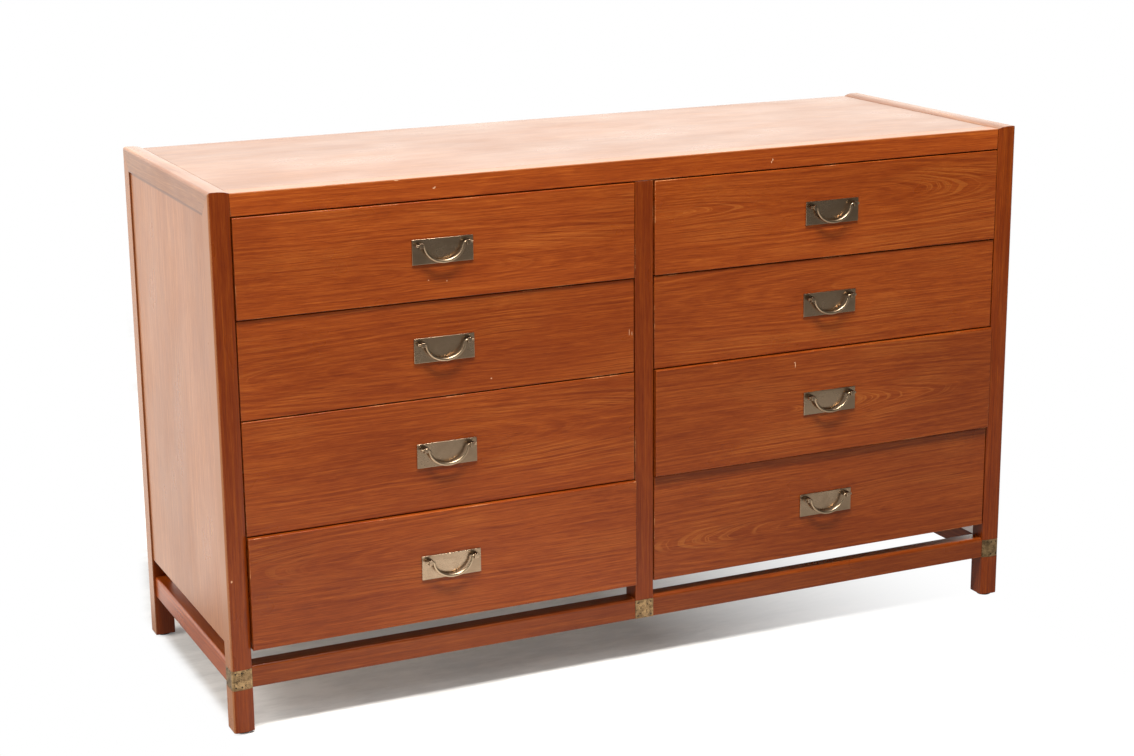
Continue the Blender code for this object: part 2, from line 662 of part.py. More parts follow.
def pull_plate_mesh():
    """The back plate of a pull, with its two ears bored for the bail and its two bolts and nuts.

    Its back lies on y = 0 and the plate's middle on the origin.
    """
    half_width, half_height = PLATE_WIDTH / 2, PLATE_HEIGHT / 2
    plate = box((-half_width, -PLATE_THICKNESS, -half_height), (half_width, 0, half_height))
    plate = eased(plate, PLATE_EASING, lambda co: co.y < -PLATE_THICKNESS / 2)
    ear_nose, root = -PLATE_THICKNESS - EAR_LENGTH, -PLATE_THICKNESS / 2
    pivot_y, pivot_z = -PLATE_THICKNESS - PIVOT_STANDOFF, PIVOT_ABOVE_MIDDLE
    nut_seat = 3 * SEAT + FRONT_THICKNESS + BOX_WALL
    bore = inscribed(PIN_RADIUS + PIN_PLAY, PIN_SIDES)
    joined, bores = [], []
    for middle in (-EAR_SPACING / 2, EAR_SPACING / 2):
        low = (middle - EAR_WIDTH / 2, ear_nose, pivot_z - EAR_HEIGHT / 2)
        ear = box(low, (middle + EAR_WIDTH / 2, root, pivot_z + EAR_HEIGHT / 2))
        joined.append(eased(ear, EAR_EASING, lambda co: co.y < pivot_y))
        nut_start, nut_end = (middle, nut_seat, pivot_z), (middle, nut_seat + NUT_THICKNESS, pivot_z)
        joined.append(cylinder(BOLT_RADIUS, BOLT_SIDES, (middle, root, pivot_z), nut_end))
        joined.append(cylinder(NUT_RADIUS, NUT_SIDES, nut_start, nut_end))
        outer, inner = (middle + step * (EAR_WIDTH / 2 + OVERRUN) for step in (-1, 1))
        bores.append(cylinder(bore, PIN_SIDES, (outer, pivot_y, pivot_z), (inner, pivot_y, pivot_z)))
    return smooth(carved("pull_plate", plate, joined, [merged(*bores)]))


def bail_rod():
    """The bent rod of a bail: half an ellipse that tapers to its ends, as a closed bmesh."""
    half_span = (EAR_SPACING - EAR_WIDTH - KNUCKLE_LENGTH) / 2 - SEAT
    curve = bpy.data.curves.new("bail_rod", "CURVE")
    curve.dimensions = "3D"
    curve.bevel_depth = BAIL_RADIUS
    curve.bevel_resolution = 2
    curve.use_fill_caps = True
    spline = curve.splines.new("POLY")
    spline.points.add(BAIL_STEPS)
    for step, point in enumerate(spline.points):
        turn = math.pi * step / BAIL_STEPS
        point.co = (half_span * math.cos(turn), 0, -BAIL_DROP * math.sin(turn), 1)
        point.radius = BAIL_END_SHARE + (1 - BAIL_END_SHARE) * math.sin(turn)
    rod = bpy.data.objects.new("bail_rod", curve)
    bpy.context.scene.collection.objects.link(rod)
    bpy.context.view_layer.update()
    swept = bpy.data.meshes.new_from_object(rod.evaluated_get(bpy.context.evaluated_depsgraph_get()))
    bow = bmesh.new()
    bow.from_mesh(swept)
    bpy.data.meshes.remove(swept)
    bpy.data.curves.remove(curve)
    bmesh.ops.remove_doubles(bow, verts=bow.verts, dist=SEAT / 10)
    bmesh.ops.scale(bow, vec=(1, BAIL_FLATNESS_SHARE, 1), verts=bow.verts)
    bmesh.ops.recalc_face_normals(bow, faces=bow.faces)
    return bow


def bail_mesh():
    """The swinging bail, hanging from the origin on the X axis."""
    knuckle_out = (EAR_SPACING - EAR_WIDTH) / 2 - SEAT
    knuckle_in = knuckle_out - KNUCKLE_LENGTH
    pin_tip = (EAR_SPACING + EAR_WIDTH) / 2 + PIN_PROUD
    ends = []
    for side in (-1, 1):
        start, end, tip = (side * x for x in (knuckle_in, knuckle_out, pin_tip))
        ends.append(cylinder(KNUCKLE_RADIUS, PIN_SIDES, (start, 0, 0), (end, 0, 0)))
        pin = cylinder(PIN_RADIUS, PIN_SIDES, (start + side * OVERLAP, 0, 0), (tip, 0, 0))
        ends.append(eased(pin, PIN_EASING, lambda co: abs(co.x) > pin_tip - OVERLAP))
    return smooth(carved("bail", bail_rod(), ends))


def drawer_rows():
    """For each row, top first: height of the front, its middle, top of the board below, space over that."""
    rows = []
    upper, ceiling = RAIL_BOTTOM - DRAWER_GAP, RAIL_BOTTOM
    for height in FRONT_HEIGHTS:
        lower = upper - height
        floor = max(lower - DRAWER_GAP / 2 + BOARD_THICKNESS / 2, CASE_FLOOR)
        rows.append((height, (upper + lower) / 2, floor, ceiling - floor))
        upper, ceiling = lower - DRAWER_GAP, floor - BOARD_THICKNESS
    return rows


def box_height(front_height):
    """Height of the boxes behind fronts of one height, which is what their tightest row has room for."""
    return min(space for height, _, _, space in drawer_rows() if height == front_height) - BOX_HEADROOM


def drawers():
    """Eight drawers, each on its own slide, with a front, a box, a plate and a bail."""
    plate, bail = pull_plate_mesh(), bail_mesh()
    pivot = (0, -SEAT - PLATE_THICKNESS - PIVOT_STANDOFF, PIVOT_ABOVE_MIDDLE)
    for row, (height, middle, board_top, _) in enumerate(drawer_rows()):
        front = drawer_front_mesh(height)
        seat = Vector((0, FRONT_THICKNESS + SEAT, board_top + RUNNING_GAP - middle))
        tray = drawer_box_mesh(box_height(height), PIVOT_ABOVE_MIDDLE - seat.z)
        for side, column, openings in ((-1, "left", REST_OPEN_LEFT), (1, "right", REST_OPEN_RIGHT)):
            tag = f"{column}_{row + 1}"
            slide = empty(f"slide_{tag}", (side * BAY_CENTRE, FLUSH_FRONT - openings[row], middle))
            add(f"drawer_front_{tag}", front, "walnut", parent=slide)
            add(f"drawer_box_{tag}", tray, "secondary_wood", seat, slide)
            add(f"pull_plate_{tag}", plate, "bronze", (0, -SEAT, 0), slide)
            hinge = empty(f"pivot_{tag}", pivot, slide)
            add(f"bail_{tag}", bail, "bronze", parent=hinge)


def case():
    """Everything that stands still."""
    for side in (-1, 1):
        corner_post(side, -1)
        corner_post(side, 1)
        end_rail(side)
        side_panel(side)
        corner_band(side)
        for row, (_, _, board_top, _) in enumerate(drawer_rows()[:-1]):
            dust_board(side, row + 1, board_top)
    stretchers()
    front_rail()
    centre_post()
    centre_band()
    top_panel()
    back_panel()
    centre_partition()
    bottom_board()


def main():
    clear_scene()
    case()
    drawers()


main()
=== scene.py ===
"""The looks of a campaign dresser: its figured walnut, aged brass and bronze pulls, in soft studio light.

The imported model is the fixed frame. Pieces whose arrises and mouldings show are modelled here again
with their real roundings and stand for the frame's plainer ones; the rest of the frame is dressed.
Metres, +Z up, -Y is the side that the drawers open to.
"""

from __future__ import annotations

import json
import logging
import math
from dataclasses import dataclass, field, replace
from enum import Enum
from typing import Callable, Mapping, Sequence, Union

import bmesh
import bpy
from mathutils import Euler, Matrix, Vector

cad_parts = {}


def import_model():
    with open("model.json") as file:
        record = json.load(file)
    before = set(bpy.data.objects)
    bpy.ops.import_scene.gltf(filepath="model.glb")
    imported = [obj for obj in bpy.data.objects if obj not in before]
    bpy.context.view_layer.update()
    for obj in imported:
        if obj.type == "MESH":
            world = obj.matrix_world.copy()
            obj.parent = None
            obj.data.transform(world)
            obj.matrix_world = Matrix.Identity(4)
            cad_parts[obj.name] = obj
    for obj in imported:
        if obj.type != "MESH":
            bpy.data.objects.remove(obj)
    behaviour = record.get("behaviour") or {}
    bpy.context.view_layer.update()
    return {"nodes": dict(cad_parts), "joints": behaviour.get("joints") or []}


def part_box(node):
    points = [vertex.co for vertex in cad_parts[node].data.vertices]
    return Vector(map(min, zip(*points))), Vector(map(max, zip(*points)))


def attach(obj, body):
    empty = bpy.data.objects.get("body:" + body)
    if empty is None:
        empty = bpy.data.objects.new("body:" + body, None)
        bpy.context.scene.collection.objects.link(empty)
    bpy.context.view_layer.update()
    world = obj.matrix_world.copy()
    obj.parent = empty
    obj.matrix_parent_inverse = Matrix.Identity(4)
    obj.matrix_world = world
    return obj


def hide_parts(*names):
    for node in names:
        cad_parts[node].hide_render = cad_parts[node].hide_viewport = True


LOG = logging.getLogger("dresser")

Socket = bpy.types.NodeSocket
Value = Union[Socket, float, Sequence[float]]
Colour = tuple[float, float, float]
Place = tuple[float, float, float]
Span = tuple[float, float]
Patch = tuple[float, float, float, float]  # where a mark lies on a face, and half its two sizes

ARRIS = "arris"  # mesh attribute: 1 on rounded edges, 0 on the faces between them
SEAT = 0.0003  # gap between two pieces that touch
SHARP_DEGREES = 32.0
SAME_POINT = 0.00001  # vertices closer than this are one
CHIP_DEPTH = 0.003  # half how deep a chip or stain reaches
BUMP_STRENGTH = 0.5


class Side(Enum):
    """The two ends of the case, as the sign of X."""

    LEFT = -1
    RIGHT = 1

    @property
    def tag(self) -> str:
        """The word that the frame's nodes use."""
        return self.name.lower()


class End(Enum):
    """The front and the rear of the case, as the sign of Y."""

    FRONT = -1
    REAR = 1

    @property
    def tag(self) -> str:
        """The word that the frame's nodes use."""
        return self.name.lower()


class Run(Enum):
    """Which way the grain runs, as the turn that brings the grain onto X and the face onto XY."""

    ALONG_TOP = (0.0, 0.0, 0.0)
    ALONG_FRONT = (90.0, 0.0, 0.0)
    UP_FRONT = (90.0, 0.0, 90.0)
    UP_SIDE = (0.0, 90.0, 0.0)
    BACK_ALONG_END = (0.0, 0.0, -90.0)

    @property
    def turn(self) -> Place:
        """The turn in radians."""
        return tuple(math.radians(angle) for angle in self.value)


class Graph:
    """A node tree being wired. Each call adds one node and returns the socket that it gives."""

    def __init__(self, tree: bpy.types.NodeTree) -> None:
        """Start wiring a tree.

        Args:
            tree: The node tree that the new nodes go into.
        """
        self.tree = tree

    def node(self, kind: str, **settings: object) -> bpy.types.Node:
        """Add a node.

        Args:
            kind: Blender's name of the node's type.
            settings: Properties of the node and their values.

        Returns:
            The new node.
        """
        made = self.tree.nodes.new(kind)
        for name, value in settings.items():
            setattr(made, name, value)
        return made

    def feed(self, target: Socket, source: Value) -> None:
        """Link a socket into another, or set its value.

        Args:
            target: The socket that takes it.
            source: The socket or value that it takes.
        """
        if isinstance(source, bpy.types.NodeSocket):
            self.tree.links.new(source, target)
        else:
            target.default_value = source

    def maths(self, operation: str, a: Value, b: Value = 0.0, clamp: bool = False) -> Socket:
        """Work out a number.

        Args:
            operation: Blender's name of the operation.
            a: The first number.
            b: The second number, where the operation takes one.
            clamp: Whether to keep the result between 0 and 1.

        Returns:
            The result.
        """
        made = self.node("ShaderNodeMath", operation=operation, use_clamp=clamp)
        self.feed(made.inputs[0], a)
        self.feed(made.inputs[1], b)
        return made.outputs[0]

    def vectors(self, operation: str, a: Value, b: Value = (0.0, 0.0, 0.0)) -> Socket:
        """Work out a vector, or the length of one.

        Args:
            operation: Blender's name of the operation.
            a: The first vector.
            b: The second vector, where the operation takes one.

        Returns:
            The resulting vector, or for LENGTH the number.
        """
        made = self.node("ShaderNodeVectorMath", operation=operation)
        self.feed(made.inputs[0], a)
        self.feed(made.inputs[1], b)
        return made.outputs["Value" if operation == "LENGTH" else "Vector"]

    def scaled(self, vector: Value, size: Value) -> Socket:
        """A vector times a number.

        Args:
            vector: The vector.
            size: The number.

        Returns:
            The scaled vector.
        """
        made = self.node("ShaderNodeVectorMath", operation="SCALE")
        self.feed(made.inputs["Vector"], vector)
        self.feed(made.inputs["Scale"], size)
        return made.outputs["Vector"]

    def split(self, vector: Value) -> tuple[Socket, Socket, Socket]:
        """Take a vector apart.

        Args:
            vector: The vector.

        Returns:
            Its X, Y and Z.
        """
        made = self.node("ShaderNodeSeparateXYZ")
        self.feed(made.inputs[0], vector)
        return made.outputs[0], made.outputs[1], made.outputs[2]

    def join(self, x: Value, y: Value, z: Value) -> Socket:
        """Make a vector of three numbers.

        Args:
            x: Its X.
            y: Its Y.
            z: Its Z.

        Returns:
            The vector.
        """
        made = self.node("ShaderNodeCombineXYZ")
        for target, source in zip(made.inputs, (x, y, z)):
            self.feed(target, source)
        return made.outputs[0]

    def noise(
        self, vector: Value, stretch: Place, detail: float = 2.0, roughness: float = 0.5,
        distortion: float = 0.0, coloured: bool = False,
    ) -> Socket:
        """Noise of a given size along each axis.

        Args:
            vector: Where the noise is read.
            stretch: Blotches per metre along X, Y and Z.
            detail: How many finer layers lie over the first.
            roughness: How strong the finer layers are.
            distortion: How far the blotches are bent.
            coloured: Whether to give three independent numbers instead of one.

        Returns:
            The noise, between 0 and 1.
        """
        made = self.node("ShaderNodeTexNoise")
        self.feed(made.inputs["Vector"], self.vectors("MULTIPLY", vector, stretch))
        made.inputs["Scale"].default_value = 1.0
        made.inputs["Detail"].default_value = detail
        made.inputs["Roughness"].default_value = roughness
        made.inputs["Distortion"].default_value = distortion
        return made.outputs[1 if coloured else 0]

    def line_noise(self, along: Value, detail: float, roughness: float) -> Socket:
        """Noise along a single number, one blotch for each whole step of it.

        Args:
            along: The number.
            detail: How many finer layers lie over the first.
            roughness: How strong the finer layers are.

        Returns:
            The noise, between 0 and 1.
        """
        made = self.node("ShaderNodeTexNoise", noise_dimensions="1D")
        self.feed(made.inputs["W"], along)
        made.inputs["Scale"].default_value = 1.0
        made.inputs["Detail"].default_value = detail
        made.inputs["Roughness"].default_value = roughness
        return made.outputs[0]

    def fade(self, value: Value, start: float, end: float, low: float = 0.0, high: float = 1.0) -> Socket:
        """Go smoothly from one value to another.

        Args:
            value: The number that drives the change.
            start: Where the change starts.
            end: Where it ends.
            low: What is given before the start.
            high: What is given after the end.

        Returns:
            The faded value.
        """
        made = self.node("ShaderNodeMapRange", interpolation_type="SMOOTHSTEP")
        for name, source in zip(
            ("Value", "From Min", "From Max", "To Min", "To Max"), (value, start, end, low, high)
        ):
            self.feed(made.inputs[name], source)
        return made.outputs["Result"]

    def blend(self, share: Value, a: Value, b: Value, mode: str = "MIX") -> Socket:
        """Mix two colours.

        Args:
            share: How much of the second colour, from 0 to 1.
            a: The first colour.
            b: The second colour.
            mode: Blender's name of the way that they mix.

        Returns:
            The mixed colour.
        """
        made = self.node("ShaderNodeMix", data_type="RGBA", blend_type=mode)
        colours = [socket for socket in made.inputs if socket.type == "RGBA"]
        self.feed(made.inputs[0], share)
        self.feed(colours[0], a)
        self.feed(colours[1], b)
        return next(socket for socket in made.outputs if socket.type == "RGBA")

    def effect(self, group: bpy.types.NodeTree, **values: Value) -> bpy.types.NodeOutputs:
        """Place a shared effect.

        Args:
            group: The effect's node group.
            values: Its inputs by name, with underscores for spaces.

        Returns:
            The outputs of the placed group.
        """
        made = self.node("ShaderNodeGroup", node_tree=group)
        for name, value in values.items():
            self.feed(made.inputs[name.replace("_", " ")], value)
        return made.outputs


class Effect(Enum):
    """The shared shader node groups."""

    FIGURE = "wood figure"
    WEAR = "worn arris"
    MARK = "mark"
    PATINA = "metal patina"
    PITTING = "pitting"


FLOAT = "NodeSocketFloat"
VECTOR = "NodeSocketVector"
COLOUR = "NodeSocketColor"


class EffectShelf:
    """Builds each shared effect once and hands it out."""

    def __init__(self) -> None:
        """Start with no effects built."""
        self.built: dict[Effect, bpy.types.NodeTree] = {}

    def __getitem__(self, effect: Effect) -> bpy.types.NodeTree:
        """Hand out an effect, built on first use.

        Args:
            effect: Which effect.

        Returns:
            Its node group.
        """
        if effect not in self.built:
            makers = {
                Effect.FIGURE: self.wood_figure, Effect.WEAR: self.worn_arris, Effect.MARK: self.mark,
                Effect.PATINA: self.metal_patina, Effect.PITTING: self.pitting,
            }
            self.built[effect] = makers[effect]()
        return self.built[effect]

    @staticmethod
    def started(
        effect: Effect, takes: Sequence[tuple[str, str]], gives: Sequence[tuple[str, str]]
    ) -> tuple[Graph, bpy.types.NodeOutputs, bpy.types.NodeInputs]:
        """Start a node group.

        Args:
            effect: Which effect it is.
            takes: The name and type of each input.
            gives: The name and type of each output.

        Returns:
            The group's graph, the sockets that it reads from and those that it writes to.
        """
        tree = bpy.data.node_groups.new(effect.value, "ShaderNodeTree")
        for name, kind in takes:
            tree.interface.new_socket(name, in_out="INPUT", socket_type=kind)
        for name, kind in gives:
            tree.interface.new_socket(name, in_out="OUTPUT", socket_type=kind)
        graph = Graph(tree)
        return graph, graph.node("NodeGroupInput").outputs, graph.node("NodeGroupOutput").inputs

    def wood_figure(self) -> bpy.types.NodeTree:
        """Growth rings of a log cut along its length, with streaks, pores and drifting colour.

        X of the vector runs along the grain, and Z into the board from its face. The middle of the log
        lies at the pith depth under the vector's X axis.

        Returns:
            The node group.
        """
        g, takes, gives = self.started(
            Effect.FIGURE,
            (
                ("Vector", VECTOR), ("Seed", VECTOR), ("Ring Spacing", FLOAT), ("Pith Depth", FLOAT),
                ("Rise", FLOAT), ("Waviness", FLOAT), ("Ripple", FLOAT), ("Ring Contrast", FLOAT),
                ("Streak Contrast", FLOAT), ("Rope Strength", FLOAT), ("Pore Strength", FLOAT),
                ("Light", COLOUR), ("Middle", COLOUR), ("Dark", COLOUR), ("Rope", COLOUR),
                ("Drift", COLOUR),
            ),
            (("Color", COLOUR), ("Gloss", FLOAT), ("Height", FLOAT)),
        )
        middle = (0.5, 0.5, 0.5)
        loose = g.vectors("ADD", takes["Vector"], takes["Seed"])
        slow = g.vectors("SUBTRACT", g.noise(loose, (3.0, 8.0, 8.0), 2.0, coloured=True), middle)
        quick = g.vectors("SUBTRACT", g.noise(loose, (17.0, 60.0, 60.0), 2.0, coloured=True), middle)
        bend = g.vectors("ADD", g.scaled(slow, takes["Waviness"]), g.scaled(quick, takes["Ripple"]))
        along, across, deep = g.split(g.vectors("ADD", takes["Vector"], bend))
        climb = g.maths("MULTIPLY", along, takes["Rise"])
        below = g.maths("ADD", g.maths("ADD", deep, takes["Pith Depth"]), climb)
        radius = g.vectors("LENGTH", g.join(0.0, across, below))
        rings = g.line_noise(g.maths("DIVIDE", radius, takes["Ring Spacing"]), 3.0, 0.56)
        bent = g.vectors("ADD", loose, g.scaled(slow, takes["Waviness"]))
        streaks = g.noise(bent, (4.5, 400.0, 400.0), 5.0, 0.70)
        fibres = g.noise(bent, (28.0, 1200.0, 1200.0), 2.0, 0.6)
        shimmer = g.noise(bent, (13.0, 60.0, 60.0), 3.0, 0.6)
        drift = g.noise(loose, (1.9, 5.0, 5.0), 1.0)

        def swing(mask: Socket, share: Value) -> Socket:
            """How far a mask lies from its middle, times a share."""
            return g.maths("MULTIPLY", g.maths("SUBTRACT", mask, 0.5), share)

        tone = g.maths("ADD", 0.5, swing(rings, takes["Ring Contrast"]))
        tone = g.maths("ADD", tone, swing(streaks, takes["Streak Contrast"]))
        tone = g.maths("ADD", tone, swing(fibres, g.maths("MULTIPLY", takes["Streak Contrast"], 0.85)))
        tone = g.maths("ADD", tone, swing(shimmer, 0.45), clamp=True)
        shaded = g.blend(g.maths("MULTIPLY", tone, 2.0, clamp=True), takes["Dark"], takes["Middle"])
        lit = g.maths("SUBTRACT", g.maths("MULTIPLY", tone, 2.0), 1.0, clamp=True)
        coloured = g.blend(lit, shaded, takes["Light"])
        crest = g.fade(g.maths("ABSOLUTE", g.maths("SUBTRACT", rings, 0.52)), 0.045, 0.008)
        patches = g.fade(g.noise(loose, (4.5, 16.0, 16.0), 2.0), 0.50, 0.66)
        ropes = g.maths("MULTIPLY", g.maths("MULTIPLY", crest, patches), takes["Rope Strength"])
        coloured = g.blend(ropes, coloured, takes["Rope"])
        coloured = g.blend(g.fade(drift, 0.38, 0.66), coloured, takes["Drift"], "MULTIPLY")
        cells = g.noise(bent, (60.0, 2000.0, 2000.0), 1.0)
        pores = g.maths("MULTIPLY", g.fade(cells, 0.58, 0.72), takes["Pore Strength"])
        coloured = g.blend(pores, coloured, g.blend(0.5, (1.0, 1.0, 1.0, 1.0), takes["Dark"]), "MULTIPLY")
        g.feed(gives["Color"], coloured)
        g.feed(gives["Gloss"], g.noise(loose, (5.0, 11.0, 11.0), 3.0, 0.6))
        height = g.maths("SUBTRACT", g.maths("MULTIPLY", fibres, 0.35), pores)
        g.feed(gives["Height"], height)
        return g.tree

    def worn_arris(self) -> bpy.types.NodeTree:
        """Where rounded edges are rubbed through, more in some places than in others.

        Returns:
            The node group.
        """
        g, takes, gives = self.started(
            Effect.WEAR, (("Vector", VECTOR), ("Amount", FLOAT)), (("Mask", FLOAT),)
        )
        edge = g.node("ShaderNodeAttribute", attribute_name=ARRIS).outputs["Fac"]
        patches = g.noise(takes["Vector"], (13.0, 13.0, 13.0), 3.0, 0.6)
        grit = g.noise(takes["Vector"], (300.0, 300.0, 300.0), 3.0, 0.7)
        rubbed = g.maths("ADD", g.maths("MULTIPLY", patches, 0.7), g.maths("MULTIPLY", grit, 0.3))
        reach = g.maths("SUBTRACT", 1.0, takes["Amount"])
        over = g.maths("MULTIPLY", g.maths("SUBTRACT", rubbed, reach), 9.0, clamp=True)
        g.feed(gives["Mask"], g.maths("MULTIPLY", edge, over))
        return g.tree

    def mark(self) -> bpy.types.NodeTree:
        """A single chip, scratch or stain, or a patch of painted shade or sheen.

        Returns:
            The node group.
        """
        g, takes, gives = self.started(
            Effect.MARK, (("Vector", VECTOR), ("Centre", VECTOR), ("Size", VECTOR)), (("Mask", FLOAT),)
        )
        away = g.vectors("DIVIDE", g.vectors("SUBTRACT", takes["Vector"], takes["Centre"]), takes["Size"])
        ragged = g.maths("MULTIPLY", g.noise(takes["Vector"], (900.0, 900.0, 900.0), 2.0), 0.7)
        g.feed(gives["Mask"], g.fade(g.maths("ADD", g.vectors("LENGTH", away), ragged), 1.35, 0.95))
        return g.tree

    def metal_patina(self) -> bpy.types.NodeTree:
        """Cloudy darkening of handled metal, with fine rubbing.

        Returns:
            The node group.
        """
        g, takes, gives = self.started(
            Effect.PATINA,
            (("Vector", VECTOR), ("Bright", COLOUR), ("Dull", COLOUR), ("Cloud Size", FLOAT)),
            (("Color", COLOUR), ("Dullness", FLOAT), ("Height", FLOAT)),
        )
        scale = g.maths("DIVIDE", 1.0, takes["Cloud Size"])
        spread = g.vectors("MULTIPLY", takes["Vector"], g.join(scale, scale, scale))
        clouds = g.noise(spread, (1.0, 1.0, 1.0), 4.0, 0.6, 0.6)
        rubs = g.noise(takes["Vector"], (160.0, 160.0, 1500.0), 2.0, 0.6)
        dull = g.maths("ADD", g.maths("MULTIPLY", clouds, 0.75), g.maths("MULTIPLY", rubs, 0.25))
        mask = g.fade(dull, 0.36, 0.64)
        g.feed(gives["Color"], g.blend(mask, takes["Bright"], takes["Dull"]))
        g.feed(gives["Dullness"], mask)
        g.feed(gives["Height"], rubs)
        return g.tree

    def pitting(self) -> bpy.types.NodeTree:
        """Dark pits and specks of corrosion.

        Returns:
            The node group.
        """
        g, takes, gives = self.started(
            Effect.PITTING, (("Vector", VECTOR), ("Amount", FLOAT)), (("Mask", FLOAT),)
        )
        fine = g.noise(takes["Vector"], (750.0, 750.0, 750.0), 3.0, 0.65)
        broad = g.noise(takes["Vector"], (170.0, 170.0, 170.0), 3.0, 0.6)
        specks = g.maths("ADD", g.maths("MULTIPLY", fine, 0.55), g.maths("MULTIPLY", broad, 0.45))
        edge = g.maths("SUBTRACT", 1.0, takes["Amount"])
        over = g.maths("MULTIPLY", g.maths("SUBTRACT", specks, edge), 12.0, clamp=True)
        g.feed(gives["Mask"], over)
        return g.tree


EFFECTS = EffectShelf()


def rgba(colour: Colour) -> tuple[float, float, float, float]:
    """An opaque colour from its three linear values."""
    return (*colour, 1.0)


def principled(name: str) -> tuple[bpy.types.Material, Graph, bpy.types.Node]:
    """Start a material.

    Args:
        name: The material's name.

    Returns:
        The material, its graph and its Principled BSDF.
    """
    made = bpy.data.materials.new(name)
    made.use_nodes = True
    return made, Graph(made.node_tree), made.node_tree.nodes["Principled BSDF"]


def bump(g: Graph, shader: bpy.types.Node, height: Value, distance: float) -> None:
    """Let a height raise and lower a surface.

    Args:
        g: The material's graph.
        shader: Its shader.
        height: The height, between 0 and 1.
        distance: What a height of 1 stands for, in metres.
    """
    relief = g.node("ShaderNodeBump")
    relief.inputs["Strength"].default_value = BUMP_STRENGTH
    relief.inputs["Distance"].default_value = distance
    g.feed(relief.inputs["Height"], height)
    g.feed(shader.inputs["Normal"], relief.outputs["Normal"])


@dataclass(frozen=True)
class Grain:
    """How one board was cut from its log."""

    run: Run
    origin: Sequence[float]  # a place on the face, right over the middle of the log
    seed: float  # tells one board's streaks from another's
    pith_depth: float = 0.050  # from the face to the middle of the log
    rise: float = 0.05  # how fast the rings climb through the board
    waviness: float = 0.012
    ripple: float = 0.0012
    shade: float = 1.0  # of the whole board
    ropes: float = 0.0  # how much pale wavy figure it shows
    tint: Colour = (0.86, 0.82, 0.74)  # where the colour drifts

    @property
    def shift(self) -> Vector:
        """The move that follows the turn and brings the origin to zero."""
        return -(Euler(self.run.turn).to_matrix() @ Vector(self.origin))

    @property
    def scatter(self) -> Place:
        """Where this board's streaks are read in the noise."""
        return self.seed * 3.71, self.seed * 1.37, self.seed * 2.19

    def shaded(self, colour: Colour) -> tuple[float, float, float, float]:
        """A colour of the wood in this board's shade."""
        return (*(part * self.shade for part in colour), 1.0)


@dataclass(frozen=True)
class Mark:
    """A small chip, scratch or stain in the finish, or a patch of painted shade or sheen."""

    centre: Place
    size: Place  # half its extent along each axis
    tone: Colour = (0.66, 0.38, 0.22)  # by default the wood under the finish
    strength: float = 1.0


def chips_in_front(y: float, patches: Sequence[Patch]) -> list[Mark]:
    """Chips in a face that looks forwards, from X, Z and half the width and height of each."""
    return [Mark((x, y, z), (a, CHIP_DEPTH, c)) for x, z, a, c in patches]


def marked(g: Graph, colour: Value, place: Value, marks: Sequence[Mark]) -> Value:
    """Lay marks over a colour.

    Args:
        g: The material's graph.
        colour: The colour under them.
        place: Where a point of the object lies.
        marks: The marks, in the order that they are laid.

    Returns:
        The colour with the marks on it.
    """
    for mark in marks:
        spot = g.effect(EFFECTS[Effect.MARK], Vector=place, Centre=mark.centre, Size=mark.size)["Mask"]
        colour = g.blend(g.maths("MULTIPLY", spot, mark.strength), colour, rgba(mark.tone))
    return colour


@dataclass(frozen=True)
class Timber:
    """A wood and the finish on it."""

    light: Colour
    middle: Colour
    dark: Colour
    raw: Colour  # where the finish is rubbed off
    rope: Colour = (0.62, 0.20, 0.035)  # pale wavy streaks
    ring_spacing: float = 0.0065
    ring_contrast: float = 0.9
    streak_contrast: float = 0.8
    pore_strength: float = 0.55
    roughness: float = 0.30
    roughness_swing: float = 0.10
    bare_roughness: float = 0.2  # how much rougher the wood is where the finish is gone
    specular: float = 0.30
    wear: float = 0.38
    relief: float = 0.00004

    def coordinates(self, g: Graph, grain: Grain) -> tuple[Socket, Socket]:
        """Where a shader stands on the board.

        Args:
            g: The material's graph.
            grain: How the board was cut.

        Returns:
            The place in the object's frame, and in the log's.
        """
        place = g.node("ShaderNodeTexCoord").outputs["Object"]
        turned = g.node("ShaderNodeMapping")
        turned.inputs["Rotation"].default_value = grain.run.turn
        turned.inputs["Location"].default_value = grain.shift
        g.feed(turned.inputs["Vector"], place)
        return place, turned.outputs["Vector"]

    def material(self, name: str, grain: Grain, marks: Sequence[Mark] = ()) -> bpy.types.Material:
        """The finish of one board.

        Args:
            name: The material's name.
            grain: How the board was cut.
            marks: Chips, scratches and stains on it, and patches of painted shade and sheen.

        Returns:
            The material.
        """
        made, g, shader = principled(name)
        place, in_log = self.coordinates(g, grain)
        figure = g.effect(
            EFFECTS[Effect.FIGURE], Vector=in_log, Seed=grain.scatter, Ring_Spacing=self.ring_spacing,
            Pith_Depth=grain.pith_depth, Rise=grain.rise, Waviness=grain.waviness, Ripple=grain.ripple,
            Ring_Contrast=self.ring_contrast, Streak_Contrast=self.streak_contrast,
            Rope_Strength=grain.ropes, Pore_Strength=self.pore_strength,
            Light=grain.shaded(self.light), Middle=grain.shaded(self.middle),
            Dark=grain.shaded(self.dark), Rope=grain.shaded(self.rope), Drift=rgba(grain.tint),
        )
        bare = g.effect(EFFECTS[Effect.WEAR], Vector=place, Amount=self.wear)["Mask"]
        colour = g.blend(bare, figure["Color"], rgba(self.raw))
        g.feed(shader.inputs["Base Color"], marked(g, colour, place, marks))
        swing = g.maths("MULTIPLY", g.maths("SUBTRACT", figure["Gloss"], 0.5), self.roughness_swing * 2)
        rougher = g.maths("MULTIPLY", bare, self.bare_roughness)
        rough = g.maths("ADD", g.maths("ADD", swing, self.roughness), rougher, True)
        g.feed(shader.inputs["Roughness"], rough)
        shader.inputs["Specular IOR Level"].default_value = self.specular
        bump(g, shader, figure["Height"], self.relief)
        return made


